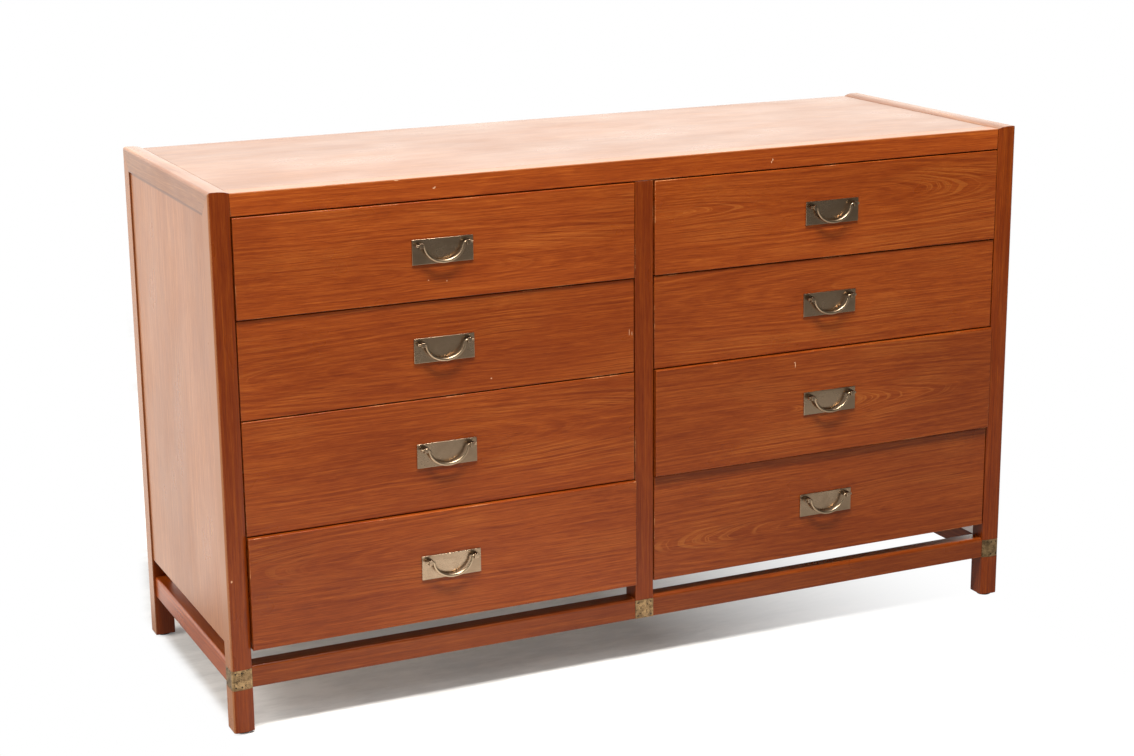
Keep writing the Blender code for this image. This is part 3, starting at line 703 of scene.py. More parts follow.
WALNUT = Timber(
    light=(0.46, 0.110, 0.014), middle=(0.300, 0.054, 0.0055), dark=(0.180, 0.026, 0.0028),
    raw=(0.60, 0.27, 0.11), ring_spacing=0.0040, ring_contrast=0.66, streak_contrast=1.35,
    wear=0.46, specular=0.26,
)
POST_WALNUT = replace(
    WALNUT, light=(0.46, 0.098, 0.007), middle=(0.300, 0.047, 0.0025), dark=(0.180, 0.022, 0.0012),
)
# Painted sheen: a paler, duller copy of the walnut for the top, the end rails and the side panels, which the
# overhead and left lights wash pale.
SHEEN_PAINTED_WALNUT = replace(
    WALNUT, light=(0.44, 0.190, 0.070), middle=(0.290, 0.100, 0.032), dark=(0.200, 0.055, 0.014),
    rope=(0.52, 0.25, 0.10), relief=0.00002, wear=0.22, specular=0.30,
)
SECONDARY = Timber(
    light=(0.72, 0.52, 0.31), middle=(0.60, 0.40, 0.22), dark=(0.44, 0.26, 0.13), raw=(0.74, 0.56, 0.36),
    ring_spacing=0.009, ring_contrast=0.5, streak_contrast=0.5, roughness=0.55, specular=0.25, wear=0.2,
)
PLY = Timber(
    light=(0.30, 0.17, 0.09), middle=(0.22, 0.115, 0.058), dark=(0.13, 0.062, 0.03),
    raw=(0.45, 0.30, 0.18), ring_spacing=0.014, roughness=0.62, specular=0.25, wear=0.25,
)


@dataclass(frozen=True)
class Metal:
    """A metal and what age has done to it."""

    bright: Colour
    dull: Colour
    rubbed: Colour  # on the arrises
    pit: Colour
    roughness: float
    cloud_size: float = 0.03
    pitting: float = 0.0
    wear: float = 0.45
    metallic: float = 1.0
    relief: float = 0.00003
    dull_roughness: float = 0.09  # how much rougher the metal is where it is dull
    pit_roughness: float = 0.3
    rub_height: float = 0.12  # of the fine rubbing, where a pit is 1 deep

    def material(
        self, name: str, shift: Place = (0.0, 0.0, 0.0), marks: Sequence[Mark] = (),
    ) -> bpy.types.Material:
        """The finish of one fitting.

        Args:
            name: The material's name.
            shift: Moves the pattern, so that no two fittings look alike.
            marks: Painted shade on it: the sides of a pull's ears darkened, and a painted shadow round them
                on the plate.

        Returns:
            The material.
        """
        made, g, shader = principled(name)
        moved = g.node("ShaderNodeMapping")
        moved.inputs["Location"].default_value = shift
        still = g.node("ShaderNodeTexCoord").outputs["Object"]
        g.feed(moved.inputs["Vector"], still)
        place = moved.outputs["Vector"]
        patina = g.effect(
            EFFECTS[Effect.PATINA], Vector=place, Bright=rgba(self.bright), Dull=rgba(self.dull),
            Cloud_Size=self.cloud_size,
        )
        rubbed = g.effect(EFFECTS[Effect.WEAR], Vector=place, Amount=self.wear)["Mask"]
        pits = g.effect(EFFECTS[Effect.PITTING], Vector=place, Amount=self.pitting)["Mask"]
        colour = g.blend(rubbed, patina["Color"], rgba(self.rubbed))
        g.feed(shader.inputs["Base Color"], marked(g, g.blend(pits, colour, rgba(self.pit)), still, marks))
        shader.inputs["Metallic"].default_value = self.metallic
        dulled = g.maths("MULTIPLY", patina["Dullness"], self.dull_roughness)
        dulled = g.maths("ADD", dulled, self.roughness)
        pitted = g.maths("MULTIPLY", pits, self.pit_roughness)
        g.feed(shader.inputs["Roughness"], g.maths("ADD", dulled, pitted, True))
        height = g.maths("SUBTRACT", g.maths("MULTIPLY", patina["Height"], self.rub_height), pits)
        bump(g, shader, height, self.relief)
        return made


BRONZE = Metal(
    bright=(0.44, 0.322, 0.218), dull=(0.33, 0.235, 0.155), rubbed=(0.52, 0.41, 0.29),
    pit=(0.13, 0.09, 0.055), roughness=0.25, cloud_size=0.050, pitting=0.12, relief=0.00001,
)
BAIL_BRONZE = replace(BRONZE, bright=(0.52, 0.395, 0.265), dull=(0.38, 0.28, 0.185), roughness=0.30)
BRASS = Metal(
    bright=(0.42, 0.28, 0.14), dull=(0.18, 0.115, 0.06), rubbed=(0.55, 0.40, 0.22),
    pit=(0.05, 0.032, 0.02), roughness=0.34, cloud_size=0.009, pitting=0.47,
)
IRON = Metal(
    bright=(0.05, 0.042, 0.035), dull=(0.025, 0.02, 0.017), rubbed=(0.12, 0.10, 0.08),
    pit=(0.02, 0.016, 0.012), roughness=0.45, cloud_size=0.008, pitting=0.35,
)


class Outline:
    """A flat outline drawn with a pen, as straight runs and arcs, which becomes a solid."""

    def __init__(self, a: float, b: float) -> None:
        """Set the pen down.

        Args:
            a: Where the outline starts, along its first axis.
            b: And along its second.
        """
        self.bm = bmesh.new()
        self.bm.verts.layers.float.new(ARRIS)
        self.tip = self.bm.verts.new((a, b, 0.0))
        self.first = self.tip

    def line(self, a: float, b: float) -> Outline:
        """Draw straight to a point.

        Args:
            a: The point, along the outline's first axis.
            b: And along its second.

        Returns:
            The outline, to draw on.
        """
        self.tip = bmesh.ops.extrude_vert_indiv(self.bm, verts=[self.tip])["verts"][0]
        self.tip.co = Vector((a, b, 0.0))
        return self

    def arc(self, centre: tuple[float, float], degrees: float, steps: int) -> Outline:
        """Draw an arc round a centre.

        Args:
            centre: The centre of the arc.
            degrees: How far it turns, positive from the first axis to the second.
            steps: How many straight runs stand for it.

        Returns:
            The outline, to draw on.
        """
        swept = bmesh.ops.spin(
            self.bm, geom=[self.tip], cent=(*centre, 0.0), axis=(0.0, 0.0, 1.0),
            angle=math.radians(degrees), steps=steps, use_merge=False, use_duplicate=False,
        )
        self.tip = next(v for v in swept["geom_last"] if isinstance(v, bmesh.types.BMVert))
        return self

    def solid(self, length: float, place: Matrix) -> bmesh.types.BMesh:
        """Close the outline, give it a length and put it in place.

        Args:
            length: How long the solid is, along the axis that stands on the outline.
            place: Carries the outline's two axes and the length to where the piece lies.

        Returns:
            The solid.
        """
        self.bm.edges.new((self.tip, self.first))
        face = bmesh.ops.contextual_create(self.bm, geom=self.bm.edges[:])["faces"]
        swept = bmesh.ops.extrude_face_region(self.bm, geom=face)
        moved = [v for v in swept["geom"] if isinstance(v, bmesh.types.BMVert)]
        bmesh.ops.translate(self.bm, vec=(0.0, 0.0, length), verts=moved)
        bmesh.ops.transform(self.bm, matrix=place, verts=self.bm.verts)
        bmesh.ops.recalc_face_normals(self.bm, faces=self.bm.faces)
        return self.bm


def axes(a: Place, b: Place, along: Place, origin: Place) -> Matrix:
    """The matrix that carries an outline's axes and its length to three directions from an origin."""
    return Matrix.Translation(origin) @ Matrix((a, b, along)).transposed().to_4x4()


def block(low: Sequence[float], high: Sequence[float]) -> bmesh.types.BMesh:
    """A plain block between two corners.

    Args:
        low: The corner with the least X, Y and Z.
        high: The corner with the greatest.

    Returns:
        The block.
    """
    low, high = Vector(low), Vector(high)
    bm = bmesh.new()
    bm.verts.layers.float.new(ARRIS)
    bmesh.ops.create_cube(bm, size=1.0)
    bmesh.ops.scale(bm, vec=high - low, verts=bm.verts)
    bmesh.ops.translate(bm, vec=(low + high) / 2, verts=bm.verts)
    return bm


def rod(radius: float, sides: int, start: Sequence[float], end: Sequence[float]) -> bmesh.types.BMesh:
    """A round or many-sided rod from one point to another.

    Args:
        radius: To its corners.
        sides: How many sides it has.
        start: One end of its axis.
        end: The other end.

    Returns:
        The rod.
    """
    start, end = Vector(start), Vector(end)
    turn = (end - start).to_track_quat("Z", "Y").to_matrix().to_4x4()
    bm = bmesh.new()
    bm.verts.layers.float.new(ARRIS)
    bmesh.ops.create_cone(
        bm, cap_ends=True, segments=sides, radius1=radius, radius2=radius, depth=(end - start).length,
        matrix=Matrix.Translation((start + end) / 2) @ turn,
    )
    return bm


def rounded(
    bm: bmesh.types.BMesh, radius: float, steps: int, where: Callable[[Vector], bool] = lambda place: True
) -> bmesh.types.BMesh:
    """Round the sharp edges and mark the roundings as arrises.

    Args:
        bm: The shape.
        radius: Of the rounding.
        steps: How many faces it has.
        where: Picks edges, by the place of both their ends.

    Returns:
        The shape, rounded.
    """
    mark = bm.verts.layers.float[ARRIS]
    least = math.radians(SHARP_DEGREES)
    sharp = [e for e in bm.edges if len(e.link_faces) == 2 and e.calc_face_angle(0.0) > least]
    chosen = [e for e in sharp if all(where(v.co) for v in e.verts)]
    done = bmesh.ops.bevel(
        bm, geom=chosen, offset=radius, offset_type="OFFSET", segments=steps, profile=0.5,
        affect="EDGES", material=-1, clamp_overlap=True,
    )
    curved = set(done["faces"])
    for vertex in done["verts"]:
        if vertex.is_valid and all(face in curved for face in vertex.link_faces):
            vertex[mark] = 1.0
    return bm


def sliced(bm: bmesh.types.BMesh, point: Sequence[float], outwards: Sequence[float]) -> bmesh.types.BMesh:
    """Cut off what lies outwards of a plane and close the cut.

    Args:
        bm: The shape.
        point: A place on the plane.
        outwards: The direction that is cut away.

    Returns:
        The shape, cut.
    """
    geometry = bm.verts[:] + bm.edges[:] + bm.faces[:]
    done = bmesh.ops.bisect_plane(
        bm, geom=geometry, plane_co=point, plane_no=outwards, clear_outer=True, clear_inner=False
    )
    rim = [e for e in done["geom_cut"] if isinstance(e, bmesh.types.BMEdge)]
    bmesh.ops.edgeloop_fill(bm, edges=rim)
    bmesh.ops.recalc_face_normals(bm, faces=bm.faces)
    return bm


def gathered(parts: Sequence[bmesh.types.BMesh]) -> bmesh.types.BMesh:
    """Join several shapes into the one mesh of a single piece.

    Args:
        parts: The shapes, which are used up.

    Returns:
        The joined shape.
    """
    whole = bmesh.new()
    whole.verts.layers.float.new(ARRIS)
    for part in parts:
        carried = bpy.data.meshes.new("part")
        part.to_mesh(carried)
        part.free()
        whole.from_mesh(carried)
        bpy.data.meshes.remove(carried)
    return whole


def carved(base: bmesh.types.BMesh, cutter: bmesh.types.BMesh) -> bmesh.types.BMesh:
    """Cut one shape out of another.

    Args:
        base: The shape that is cut, which is used up.
        cutter: The shape that is cut out, which is used up too.

    Returns:
        What is left of the first.
    """
    objects = []
    for bm in (base, cutter):
        mesh = bpy.data.meshes.new("blank")
        bm.to_mesh(mesh)
        bm.free()
        objects.append(bpy.data.objects.new("blank", mesh))
        bpy.context.scene.collection.objects.link(objects[-1])
    cut = objects[0].modifiers.new("cut", "BOOLEAN")
    cut.operation = "DIFFERENCE"
    cut.object = objects[1]
    bpy.context.view_layer.update()
    evaluated = objects[0].evaluated_get(bpy.context.evaluated_depsgraph_get())
    shaped = bpy.data.meshes.new_from_object(evaluated)
    result = bmesh.new()
    result.from_mesh(shaped)
    bpy.data.meshes.remove(shaped)
    for blank in objects:
        bpy.data.meshes.remove(blank.data)
    return result


def finished(
    name: str, bm: bmesh.types.BMesh, material: bpy.types.Material, body: str,
    stands_for: Sequence[str] = (),
) -> bpy.types.Object:
    """Turn a shape into a finished piece of the dresser.

    Args:
        name: The piece's name.
        bm: Its shape, in place.
        material: Its finish.
        body: The body that it rides on.
        stands_for: The frame's nodes that it replaces.

    Returns:
        The piece.
    """
    mesh = bpy.data.meshes.new(name)
    bm.to_mesh(mesh)
    bm.free()
    mesh.materials.append(material)
    mesh.shade_smooth()
    mesh.set_sharp_from_angle(angle=math.radians(SHARP_DEGREES))
    piece = bpy.data.objects.new(name, mesh)
    bpy.context.scene.collection.objects.link(piece)
    shading = piece.modifiers.new("even shading", "WEIGHTED_NORMAL")
    shading.keep_sharp = True
    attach(piece, body)
    if stands_for:
        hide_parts(*stands_for)
    LOG.info("%s: %d faces, on %s", name, len(mesh.polygons), body)
    return piece


def dressed(node: bpy.types.Object, material: bpy.types.Material, easing: float = 0.0) -> None:
    """Give a piece of the frame its finish, and soften its edges.

    Args:
        node: The frame's piece.
        material: Its finish.
        easing: The width of its softened edges, or nothing.
    """
    node.data.materials.clear()
    node.data.materials.append(material)
    if easing:
        weld = node.modifiers.new("weld", "WELD")
        weld.merge_threshold = SAME_POINT
        soft = node.modifiers.new("soft edges", "BEVEL")
        soft.width = easing
        soft.segments = 2
        soft.limit_method = "ANGLE"
        soft.angle_limit = math.radians(SHARP_DEGREES)
        soft.harden_normals = False
    LOG.info("%s: dressed", node.name)


@dataclass(frozen=True)
class BandPin:
    """The low domed head of one of the pins that hold the brass."""

    radius: float = 0.0015
    inset: float = 0.0045  # from the edges of the brass
    sunk: float = 0.0003
    proud: float = 0.00012
    easing: float = 0.0003
    sides: int = 12

    def head(self, place: Place, outwards: Place) -> bmesh.types.BMesh:
        """Make a head that stands a little proud of a face.

        Args:
            place: Its middle on the face.
            outwards: Where the face looks.

        Returns:
            The head.
        """
        face, out = Vector(place), Vector(outwards)
        shank = rod(self.radius, self.sides, face - out * self.sunk, face + out * self.proud)
        return rounded(shank, self.easing, 2)


PIN = BandPin()


@dataclass(frozen=True)
class CrownedStock:
    """The stock of the posts and end rails: flat outside, and crowned on its second face."""

    width: float  # of the crowned face
    depth: float  # of the outer face
    crown: float  # how far the crowned face falls at its inner edge
    crown_start: float = 0.014  # from the outer face to where the fall begins
    corner_radius: float = 0.0048
    corner_steps: int = 8
    crown_steps: int = 16
    easing: float = 0.0006  # of the inner arris

    @property
    def crown_radius(self) -> float:
        """Radius of the arc that the crowned face falls along."""
        fall = self.width - self.crown_start
        return (fall**2 + self.crown**2) / (2 * self.crown)

    @property
    def crown_sweep(self) -> float:
        """How many degrees that arc turns."""
        return math.degrees(math.asin((self.width - self.crown_start) / self.crown_radius))

    def bar(self, length: float, stretch: float, place: Matrix) -> bmesh.types.BMesh:
        """A length of the stock.

        Args:
            length: How long it is.
            stretch: How much deeper the section is than the stock's own.
            place: Carries across, down and along to where the bar lies.

        Returns:
            The bar.
        """
        r, radius = self.corner_radius, self.crown_radius
        pen = Outline(0.0, self.depth).line(0.0, r).arc((r, r), 90.0, self.corner_steps)
        pen.line(self.crown_start, 0.0).arc((self.crown_start, radius), self.crown_sweep, self.crown_steps)
        pen.line(self.width, self.depth)
        return pen.solid(length, place @ Matrix.Diagonal((1.0, stretch, 1.0, 1.0)))

    def wrap(
        self, outer: float, inner: float, lead: float, length: float, place: Matrix,
    ) -> bmesh.types.BMesh:
        """A strip bent round the outer and crowned faces.

        Args:
            outer: How far its outside stands above the faces.
            inner: How far its inside stands above them.
            lead: How far it runs past the faces' far edges.
            length: Its height.
            place: Carries across, down and along to where it lies.

        Returns:
            The strip.
        """
        r, start, radius, sweep = self.corner_radius, self.crown_start, self.crown_radius, self.crown_sweep
        turn = math.radians(sweep)

        def far_edge(offset: float) -> tuple[float, float]:
            """Where the strip ends past the crowned face.

            Args:
                offset: How far above that face.

            Returns:
                The place, along the outline's two axes.
            """
            out = radius + offset
            a = start + out * math.sin(turn) + lead * math.cos(turn)
            return a, radius - out * math.cos(turn) + lead * math.sin(turn)

        pen = Outline(-outer, self.depth + lead).line(-outer, r).arc((r, r), 90.0, self.corner_steps)
        pen.line(start, -outer).arc((start, radius), sweep, self.crown_steps)
        pen.line(*far_edge(outer)).line(*far_edge(inner))
        back = radius + inner
        pen.line(start + back * math.sin(turn), radius - back * math.cos(turn))
        pen.arc((start, radius), -sweep, self.crown_steps)
        pen.line(r, -inner).arc((r, r), -90.0, self.corner_steps).line(-inner, self.depth + lead)
        return pen.solid(length, place)


POST_GRAIN = Grain(
    Run.UP_FRONT, (0.0, 0.0, 0.0), 0.0, pith_depth=0.03, rise=0.012, waviness=0.006, shade=0.70,
)
STRETCHER_GRAIN = replace(POST_GRAIN, run=Run.ALONG_FRONT, shade=0.72)


@dataclass(frozen=True)
class EndFrames:
    """The two end frames: crowned posts mitred to crowned rails, their panels, bands and glides."""

    stock: CrownedStock
    outer: float  # X of the outer faces
    front: float  # Y of the foremost faces
    rear: float
    height: float
    rail_height: float
    band_low: float
    band_high: float
    glide_height: float = 0.003
    glide_radius: float = 0.012
    glide_easing: float = 0.0009
    glide_gap: float = 0.0001  # between a glide and its leg
    glide_sides: int = 40
    leg_chamfer: float = 0.002
    mitre_gap: float = 0.00015
    band_thickness: float = 0.001
    band_sunk: float = 0.00015  # below the faces of the leg
    cut_past: float = 0.002  # how far the recess cutter stands proud
    pin_shift: float = 0.001  # of the pins in the band's front, inwards
    pin_depth: float = 0.009  # of the foremost pins in its side, behind its front
    panel_easing: float = 0.0006
    leg_chip: Patch = (-0.6790, 0.243, 0.0016, 0.0022)
    seam_tone: Colour = (0.12, 0.032, 0.010)  # of the painted shadow lines along the panels' recessed edges and under the rails
    bleached_tone: Colour = (0.34, 0.135, 0.050)  # painted sheen: the paler colour of the posts' outer faces, where the light washes them
    bleached_depth: float = 0.0030  # how far it reaches in from them
    bleached_strength: float = 0.8
    past_ends: Place = (0.02, 0.8, 0.9)  # half sizes of a mark that runs past the ends of a side
    seam_strength: float = 0.8
    rail_seam: float = 0.0021  # half how wide the painted shadow line is along a rail's lower edge, over the recessed panel
    rail_seam_strength: float = 0.9
    upper_seam: float = 0.0038  # along a panel's upper edge
    upper_seam_drop: float = 0.0009
    rear_seam: float = 0.0030  # along its rear edge

    @classmethod
    def from_frame(cls) -> EndFrames:
        """Read the sizes off the frame.

        Returns:
            The end frames in those sizes.
        """
        low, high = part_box("post_front_right")
        rail_low, rail_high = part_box("top_rail_right")
        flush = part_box("top_rail_front")[0].y
        band_low, band_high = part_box("brass_band_right")
        stock = CrownedStock(width=high.x - low.x, depth=high.y - low.y, crown=flush - low.y)
        return cls(
            stock=stock, outer=high.x, front=low.y, rear=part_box("post_rear_right")[1].y, height=rail_high.z,
            rail_height=rail_high.z - rail_low.z, band_low=band_low.z, band_high=band_high.z,
        )

    def corner(self, side: Side, end: End, height: float) -> Matrix:
        """Carry a post's section to its corner of the case.

        Args:
            side: The end of the case.
            end: Its front or its rear.
            height: Where the section's length starts, above the floor.

        Returns:
            The matrix that takes across, in and up of the section there.
        """
        y = self.front if end is End.FRONT else self.rear
        corner = (side.value * self.outer, y, height)
        return axes((-side.value, 0.0, 0.0), (0.0, -end.value, 0.0), (0.0, 0.0, 1.0), corner)

    def post(self, side: Side, end: End) -> None:
        """Make a leg and post in one, mitred at its top, with a recess for its band if it has one.

        Args:
            side: The end of the case.
            end: Its front or its rear.
        """
        bm = self.stock.bar(self.height - self.glide_height, 1.0, self.corner(side, end, self.glide_height))
        foot = self.glide_height + self.leg_chamfer / 2
        bm = rounded(bm, self.leg_chamfer, 2, lambda place: place.z < foot)
        y = self.front if end is End.FRONT else self.rear
        tip = (side.value * self.outer, y, self.height - self.mitre_gap)
        bm = sliced(bm, tip, (0.0, -end.value * self.rail_height, self.stock.depth))
        inner = self.outer - self.stock.width
        bm = rounded(bm, self.stock.easing, 2, lambda place: self.on_inner_arris(place, inner, end))
        if end is End.FRONT:
            place = self.corner(side, end, self.band_low - SEAT)
            depth = self.band_high - self.band_low + 2 * SEAT
            inside = -self.band_thickness - SEAT
            bm = carved(bm, self.stock.wrap(self.cut_past, inside, self.cut_past, depth, place))
        seed = 1.3 * side.value + 0.45 * end.value
        grain = replace(POST_GRAIN, origin=tip, seed=seed)
        # painted sheen: the post's outer face paler, where the light washes it
        face = (side.value * self.outer, y, self.height / 2)
        painted_sheen = (self.bleached_depth, self.stock.depth * 2, self.height)
        marks = [Mark(face, painted_sheen, self.bleached_tone, self.bleached_strength)]
        if side is Side.LEFT:
            marks += chips_in_front(self.front, [self.leg_chip])
        name = f"{end.tag}_{side.tag}"
        finish = POST_WALNUT.material(f"walnut post {name}", grain, marks)
        finished(f"walnut_post_{name}", bm, finish, "case", [f"post_{name}"])

    def on_inner_arris(self, place: Vector, inner: float, end: End) -> bool:
        """Whether a place lies on the arris where the crowned face meets the inner one."""
        y = self.front + self.stock.crown if end is End.FRONT else self.rear - self.stock.crown
        return abs(abs(place.x) - inner) < SEAT and abs(place.y - y) < SEAT and place.z > self.band_high

    def rail(self, side: Side) -> None:
        """Make the crowned rail along the top of an end, mitred to both posts.

        Args:
            side: The end of the case.
        """
        stretch = self.rail_height / self.stock.depth
        place = axes(
            (-side.value, 0.0, 0.0), (0.0, 0.0, -1.0), (0.0, 1.0, 0.0),
            (side.value * self.outer, self.front, self.height),
        )
        bm = self.stock.bar(self.rear - self.front, stretch, place)
        for end, y in ((End.FRONT, self.front), (End.REAR, self.rear)):
            bm = sliced(bm, (0.0, y, self.height), (0.0, end.value * self.rail_height, -self.stock.depth))
        origin = (side.value * self.outer, 0.0, self.height)
        grain = Grain(Run.BACK_ALONG_END, origin, 2.4 * side.value, pith_depth=0.05, rise=0.02, shade=0.80)
        # painted shadow: a dark line along the rail's lower edge, where the recessed panel meets it
        lower_edge = (origin[0], 0.0, self.height - self.rail_height)
        across, along, _ = self.past_ends
        rail_shadow_mark = Mark(lower_edge, (across, along, self.rail_seam), self.seam_tone, self.rail_seam_strength)
        # the rail is in the walnut with painted sheen
        finish = SHEEN_PAINTED_WALNUT.material(f"walnut rail {side.tag}", grain, [rail_shadow_mark])
        finished(f"walnut_rail_{side.tag}", bm, finish, "case", [f"top_rail_{side.tag}"])

    def band(self, side: Side) -> None:
        """Make the brass band let into a front leg, and the pins that hold it.

        Args:
            side: The end of the case.
        """
        place = self.corner(side, End.FRONT, self.band_low)
        length = self.band_high - self.band_low
        bm = self.stock.wrap(-self.band_sunk, -self.band_thickness, 0.0, length, place)
        shift = (0.3 * side.value, 0.1, 0.0)
        finish = BRASS.material(f"brass band {side.tag}", shift)
        finished(f"inlaid_band_{side.tag}", bm, finish, "case", [f"brass_band_{side.tag}"])
        pins = []
        for z in (self.band_low + PIN.inset, self.band_high - PIN.inset):
            for x in (PIN.inset, self.stock.crown_start):
                spot = (side.value * (self.outer - x - self.pin_shift), self.front + self.band_sunk, z)
                pins.append(PIN.head(spot, (0.0, -1.0, 0.0)))
            for y in (self.pin_depth, self.stock.depth - PIN.inset):
                spot = (side.value * (self.outer - self.band_sunk), self.front + y, z)
                pins.append(PIN.head(spot, (side.value, 0.0, 0.0)))
        finish = IRON.material(f"band pins {side.tag}", shift)
        finished(f"band_pins_{side.tag}", gathered(pins), finish, "case")

    def glide(self, side: Side, end: End) -> None:
        """Make the dark disc under a leg.

        Args:
            side: The end of the case.
            end: Its front or its rear.
        """
        x = side.value * (self.outer - self.stock.width / 2)
        y = (self.front + self.stock.depth / 2) if end is End.FRONT else (self.rear - self.stock.depth / 2)
        top = self.glide_height - self.glide_gap
        disc = rod(self.glide_radius, self.glide_sides, (x, y, 0.0), (x, y, top))
        disc = rounded(disc, self.glide_easing, 3)
        name = f"{end.tag}_{side.tag}"
        finish = IRON.material(f"glide {name}", (x, y, 0.0))
        finished(f"glide_{name}", disc, finish, "case")

    def build(self, nodes: Mapping[str, bpy.types.Object]) -> None:
        """Make both end frames.

        Args:
            nodes: The frame's pieces by name.
        """
        for side in Side:
            for end in End:
                self.post(side, end)
                self.glide(side, end)
            self.rail(side)
            self.band(side)
            self.panel(side, nodes[f"side_panel_{side.tag}"])

    def panel(self, side: Side, node: bpy.types.Object) -> None:
        """Dress the veneered panel of an end, with a painted shadow line along its upper and rear edges,
        where it lies recessed under the rail and beside the rear post.

        Args:
            side: The end.
            node: The frame's panel there.
        """
        origin = (side.value * self.outer, -1.5 * side.value, 0.3)
        grain = Grain(
            Run.UP_SIDE, origin, 3.2 * side.value, pith_depth=0.03, rise=0.02, waviness=0.008, ripple=0.0,
            shade=1.12,
        )
        low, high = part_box(f"side_panel_{side.tag}")
        x = low.x if side is Side.LEFT else high.x
        middle_y, middle_z = (low.y + high.y) / 2, (low.z + high.z) / 2
        # painted shadow lines along the panel's upper and rear edges, where it lies recessed
        upper = (x, middle_y, self.height - self.rail_height - self.upper_seam_drop)
        rear = (x, self.rear - self.stock.depth, middle_z)
        across, along, up = self.past_ends
        shadow_lines = [
            Mark(upper, (across, along, self.upper_seam), self.seam_tone, self.seam_strength),
            Mark(rear, (across, self.rear_seam, up), self.seam_tone, self.seam_strength),
        ]
        # the panel is in the walnut with painted sheen
        finish = SHEEN_PAINTED_WALNUT.material(f"walnut panel {side.tag}", grain, shadow_lines)
        dressed(node, finish, self.panel_easing)


@dataclass(frozen=True)
class Rails:
    """The straight members: the front rail, the centre post with its plate, and the stretchers."""

    easing: float = 0.0015
    stretcher_round: float = 0.0045
    stretcher_easing: float = 0.0010
    tenon: float = 0.008
    plate_easing: float = 0.0003
    side_shade: float = 0.95  # of the side stretchers
    top_tone: Colour = (0.34, 0.135, 0.050)  # painted sheen: the paler colour of the front rail's top and upper arris, where the light washes them
    top_reach: Place = (2.0, 0.1, 0.0019)  # half the sizes of that mark, past the rail's ends
    top_strength: float = 0.70
    rail_chips: tuple[Patch, ...] = (
        (-0.3450, 0.7985, 0.0022, 0.0012), (-0.3430, 0.7998, 0.0010, 0.0016),
        (-0.4030, 0.8145, 0.0040, 0.0008), (0.2240, 0.7935, 0.0010, 0.0022),
        (0.2262, 0.7970, 0.0010, 0.0024), (0.0480, 0.8170, 0.0060, 0.0012),
        (0.1110, 0.8165, 0.0070, 0.0010), (-0.0640, 0.8172, 0.0035, 0.0011),
    )

    def front_rail(self) -> None:
        """The rail over the drawers."""
        low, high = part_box("top_rail_front")
        bm = rounded(block(low, high), self.easing, 3, lambda place: place.y < low.y + SEAT)
        origin = (0.0, low.y, low.z)
        grain = Grain(Run.ALONG_FRONT, origin, 5.1, pith_depth=0.04, rise=0.008, waviness=0.008, shade=1.12)
        # painted sheen: the rail's top and upper arris paler, where the light washes them
        upper = (0.0, (low.y + high.y) / 2, high.z)
        top = Mark(upper, self.top_reach, self.top_tone, self.top_strength)
        finish = WALNUT.material("walnut front rail", grain, [top, *chips_in_front(low.y, self.rail_chips)])
        finished("walnut_front_rail", bm, finish, "case", ["top_rail_front"])

    def centre_post(self) -> None:
        """The post between the columns, and the brass plate on its foot."""
        low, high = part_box("post_centre")
        plate_low, plate_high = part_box("brass_band_centre")
        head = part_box("top_rail_front")[0].z - SEAT
        bm = block(low, (high.x, high.y, head))
        bm = rounded(bm, self.easing, 3, lambda place: place.y < low.y + SEAT and place.z > 0.0)
        recess = block(
            (low.x - self.tenon, low.y - self.tenon, low.z - self.tenon),
            (high.x + self.tenon, plate_high.y + SEAT, plate_high.z + SEAT),
        )
        finish = POST_WALNUT.material("walnut centre post", replace(POST_GRAIN, origin=low, seed=5.9))
        finished("walnut_centre_post", carved(bm, recess), finish, "case", ["post_centre"])
        plate = block(plate_low, plate_high)
        plate = rounded(plate, self.plate_easing, 2, lambda place: place.y < plate_low.y + SEAT)
        finish = BRASS.material("brass plate", (0.05, 0.2, 0.4))
        finished("inlaid_plate_centre", plate, finish, "case", ["brass_band_centre"])
        pins = [
            PIN.head((x, plate_low.y, z), (0.0, -1.0, 0.0))
            for x in (plate_low.x + PIN.inset, plate_high.x - PIN.inset)
            for z in (plate_low.z + PIN.inset, plate_high.z - PIN.inset)
        ]
        finish = IRON.material("plate pins")
        finished("plate_pins_centre", gathered(pins), finish, "case")

    def stretcher(self, name: str, along_x: bool, outwards: int, seed: float) -> None:
        """A rail between two legs, rounded on its upper outer edge.

        Args:
            name: The frame's node.
            along_x: Whether it runs along X; otherwise it runs along Y.
            outwards: The sign of the direction that its outer face looks in.
            seed: Moves the figure.
        """
        low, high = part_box(name)
        shoulder = self.tenon + SEAT
        shorten = Vector((shoulder, 0.0, 0.0)) if along_x else Vector((0.0, shoulder, 0.0))
        low, high = low + shorten, high - shorten
        axis = 1 if along_x else 0
        face = high[axis] if outwards > 0 else low[axis]
        bm = block(low, high)
        bm = rounded(
            bm, self.stretcher_round, 6,
            lambda place: place.z > high.z - SEAT and abs(place[axis] - face) < SEAT,
        )
        bm = rounded(bm, self.stretcher_easing, 2, lambda place: place.z < low.z + SEAT)
        if along_x:
            grain = replace(STRETCHER_GRAIN, origin=(0.0, face, low.z), seed=seed)
        else:
            grain = replace(
                STRETCHER_GRAIN, run=Run.BACK_ALONG_END, origin=(face, 0.0, low.z), seed=seed,
                shade=self.side_shade,
            )
        finish = WALNUT.material(f"walnut {name}", grain)
        finished(f"walnut_{name}", bm, finish, "case", [name])

    def build(self) -> None:
        """Make all the straight members."""
        self.front_rail()
        self.centre_post()
        self.stretcher("stretcher_front_left", True, -1, 0.7)
        self.stretcher("stretcher_front_right", True, -1, 1.9)
        self.stretcher("stretcher_rear", True, 1, 2.6)
        self.stretcher("stretcher_left", False, -1, 3.3)
        self.stretcher("stretcher_right", False, 1, 4.1)


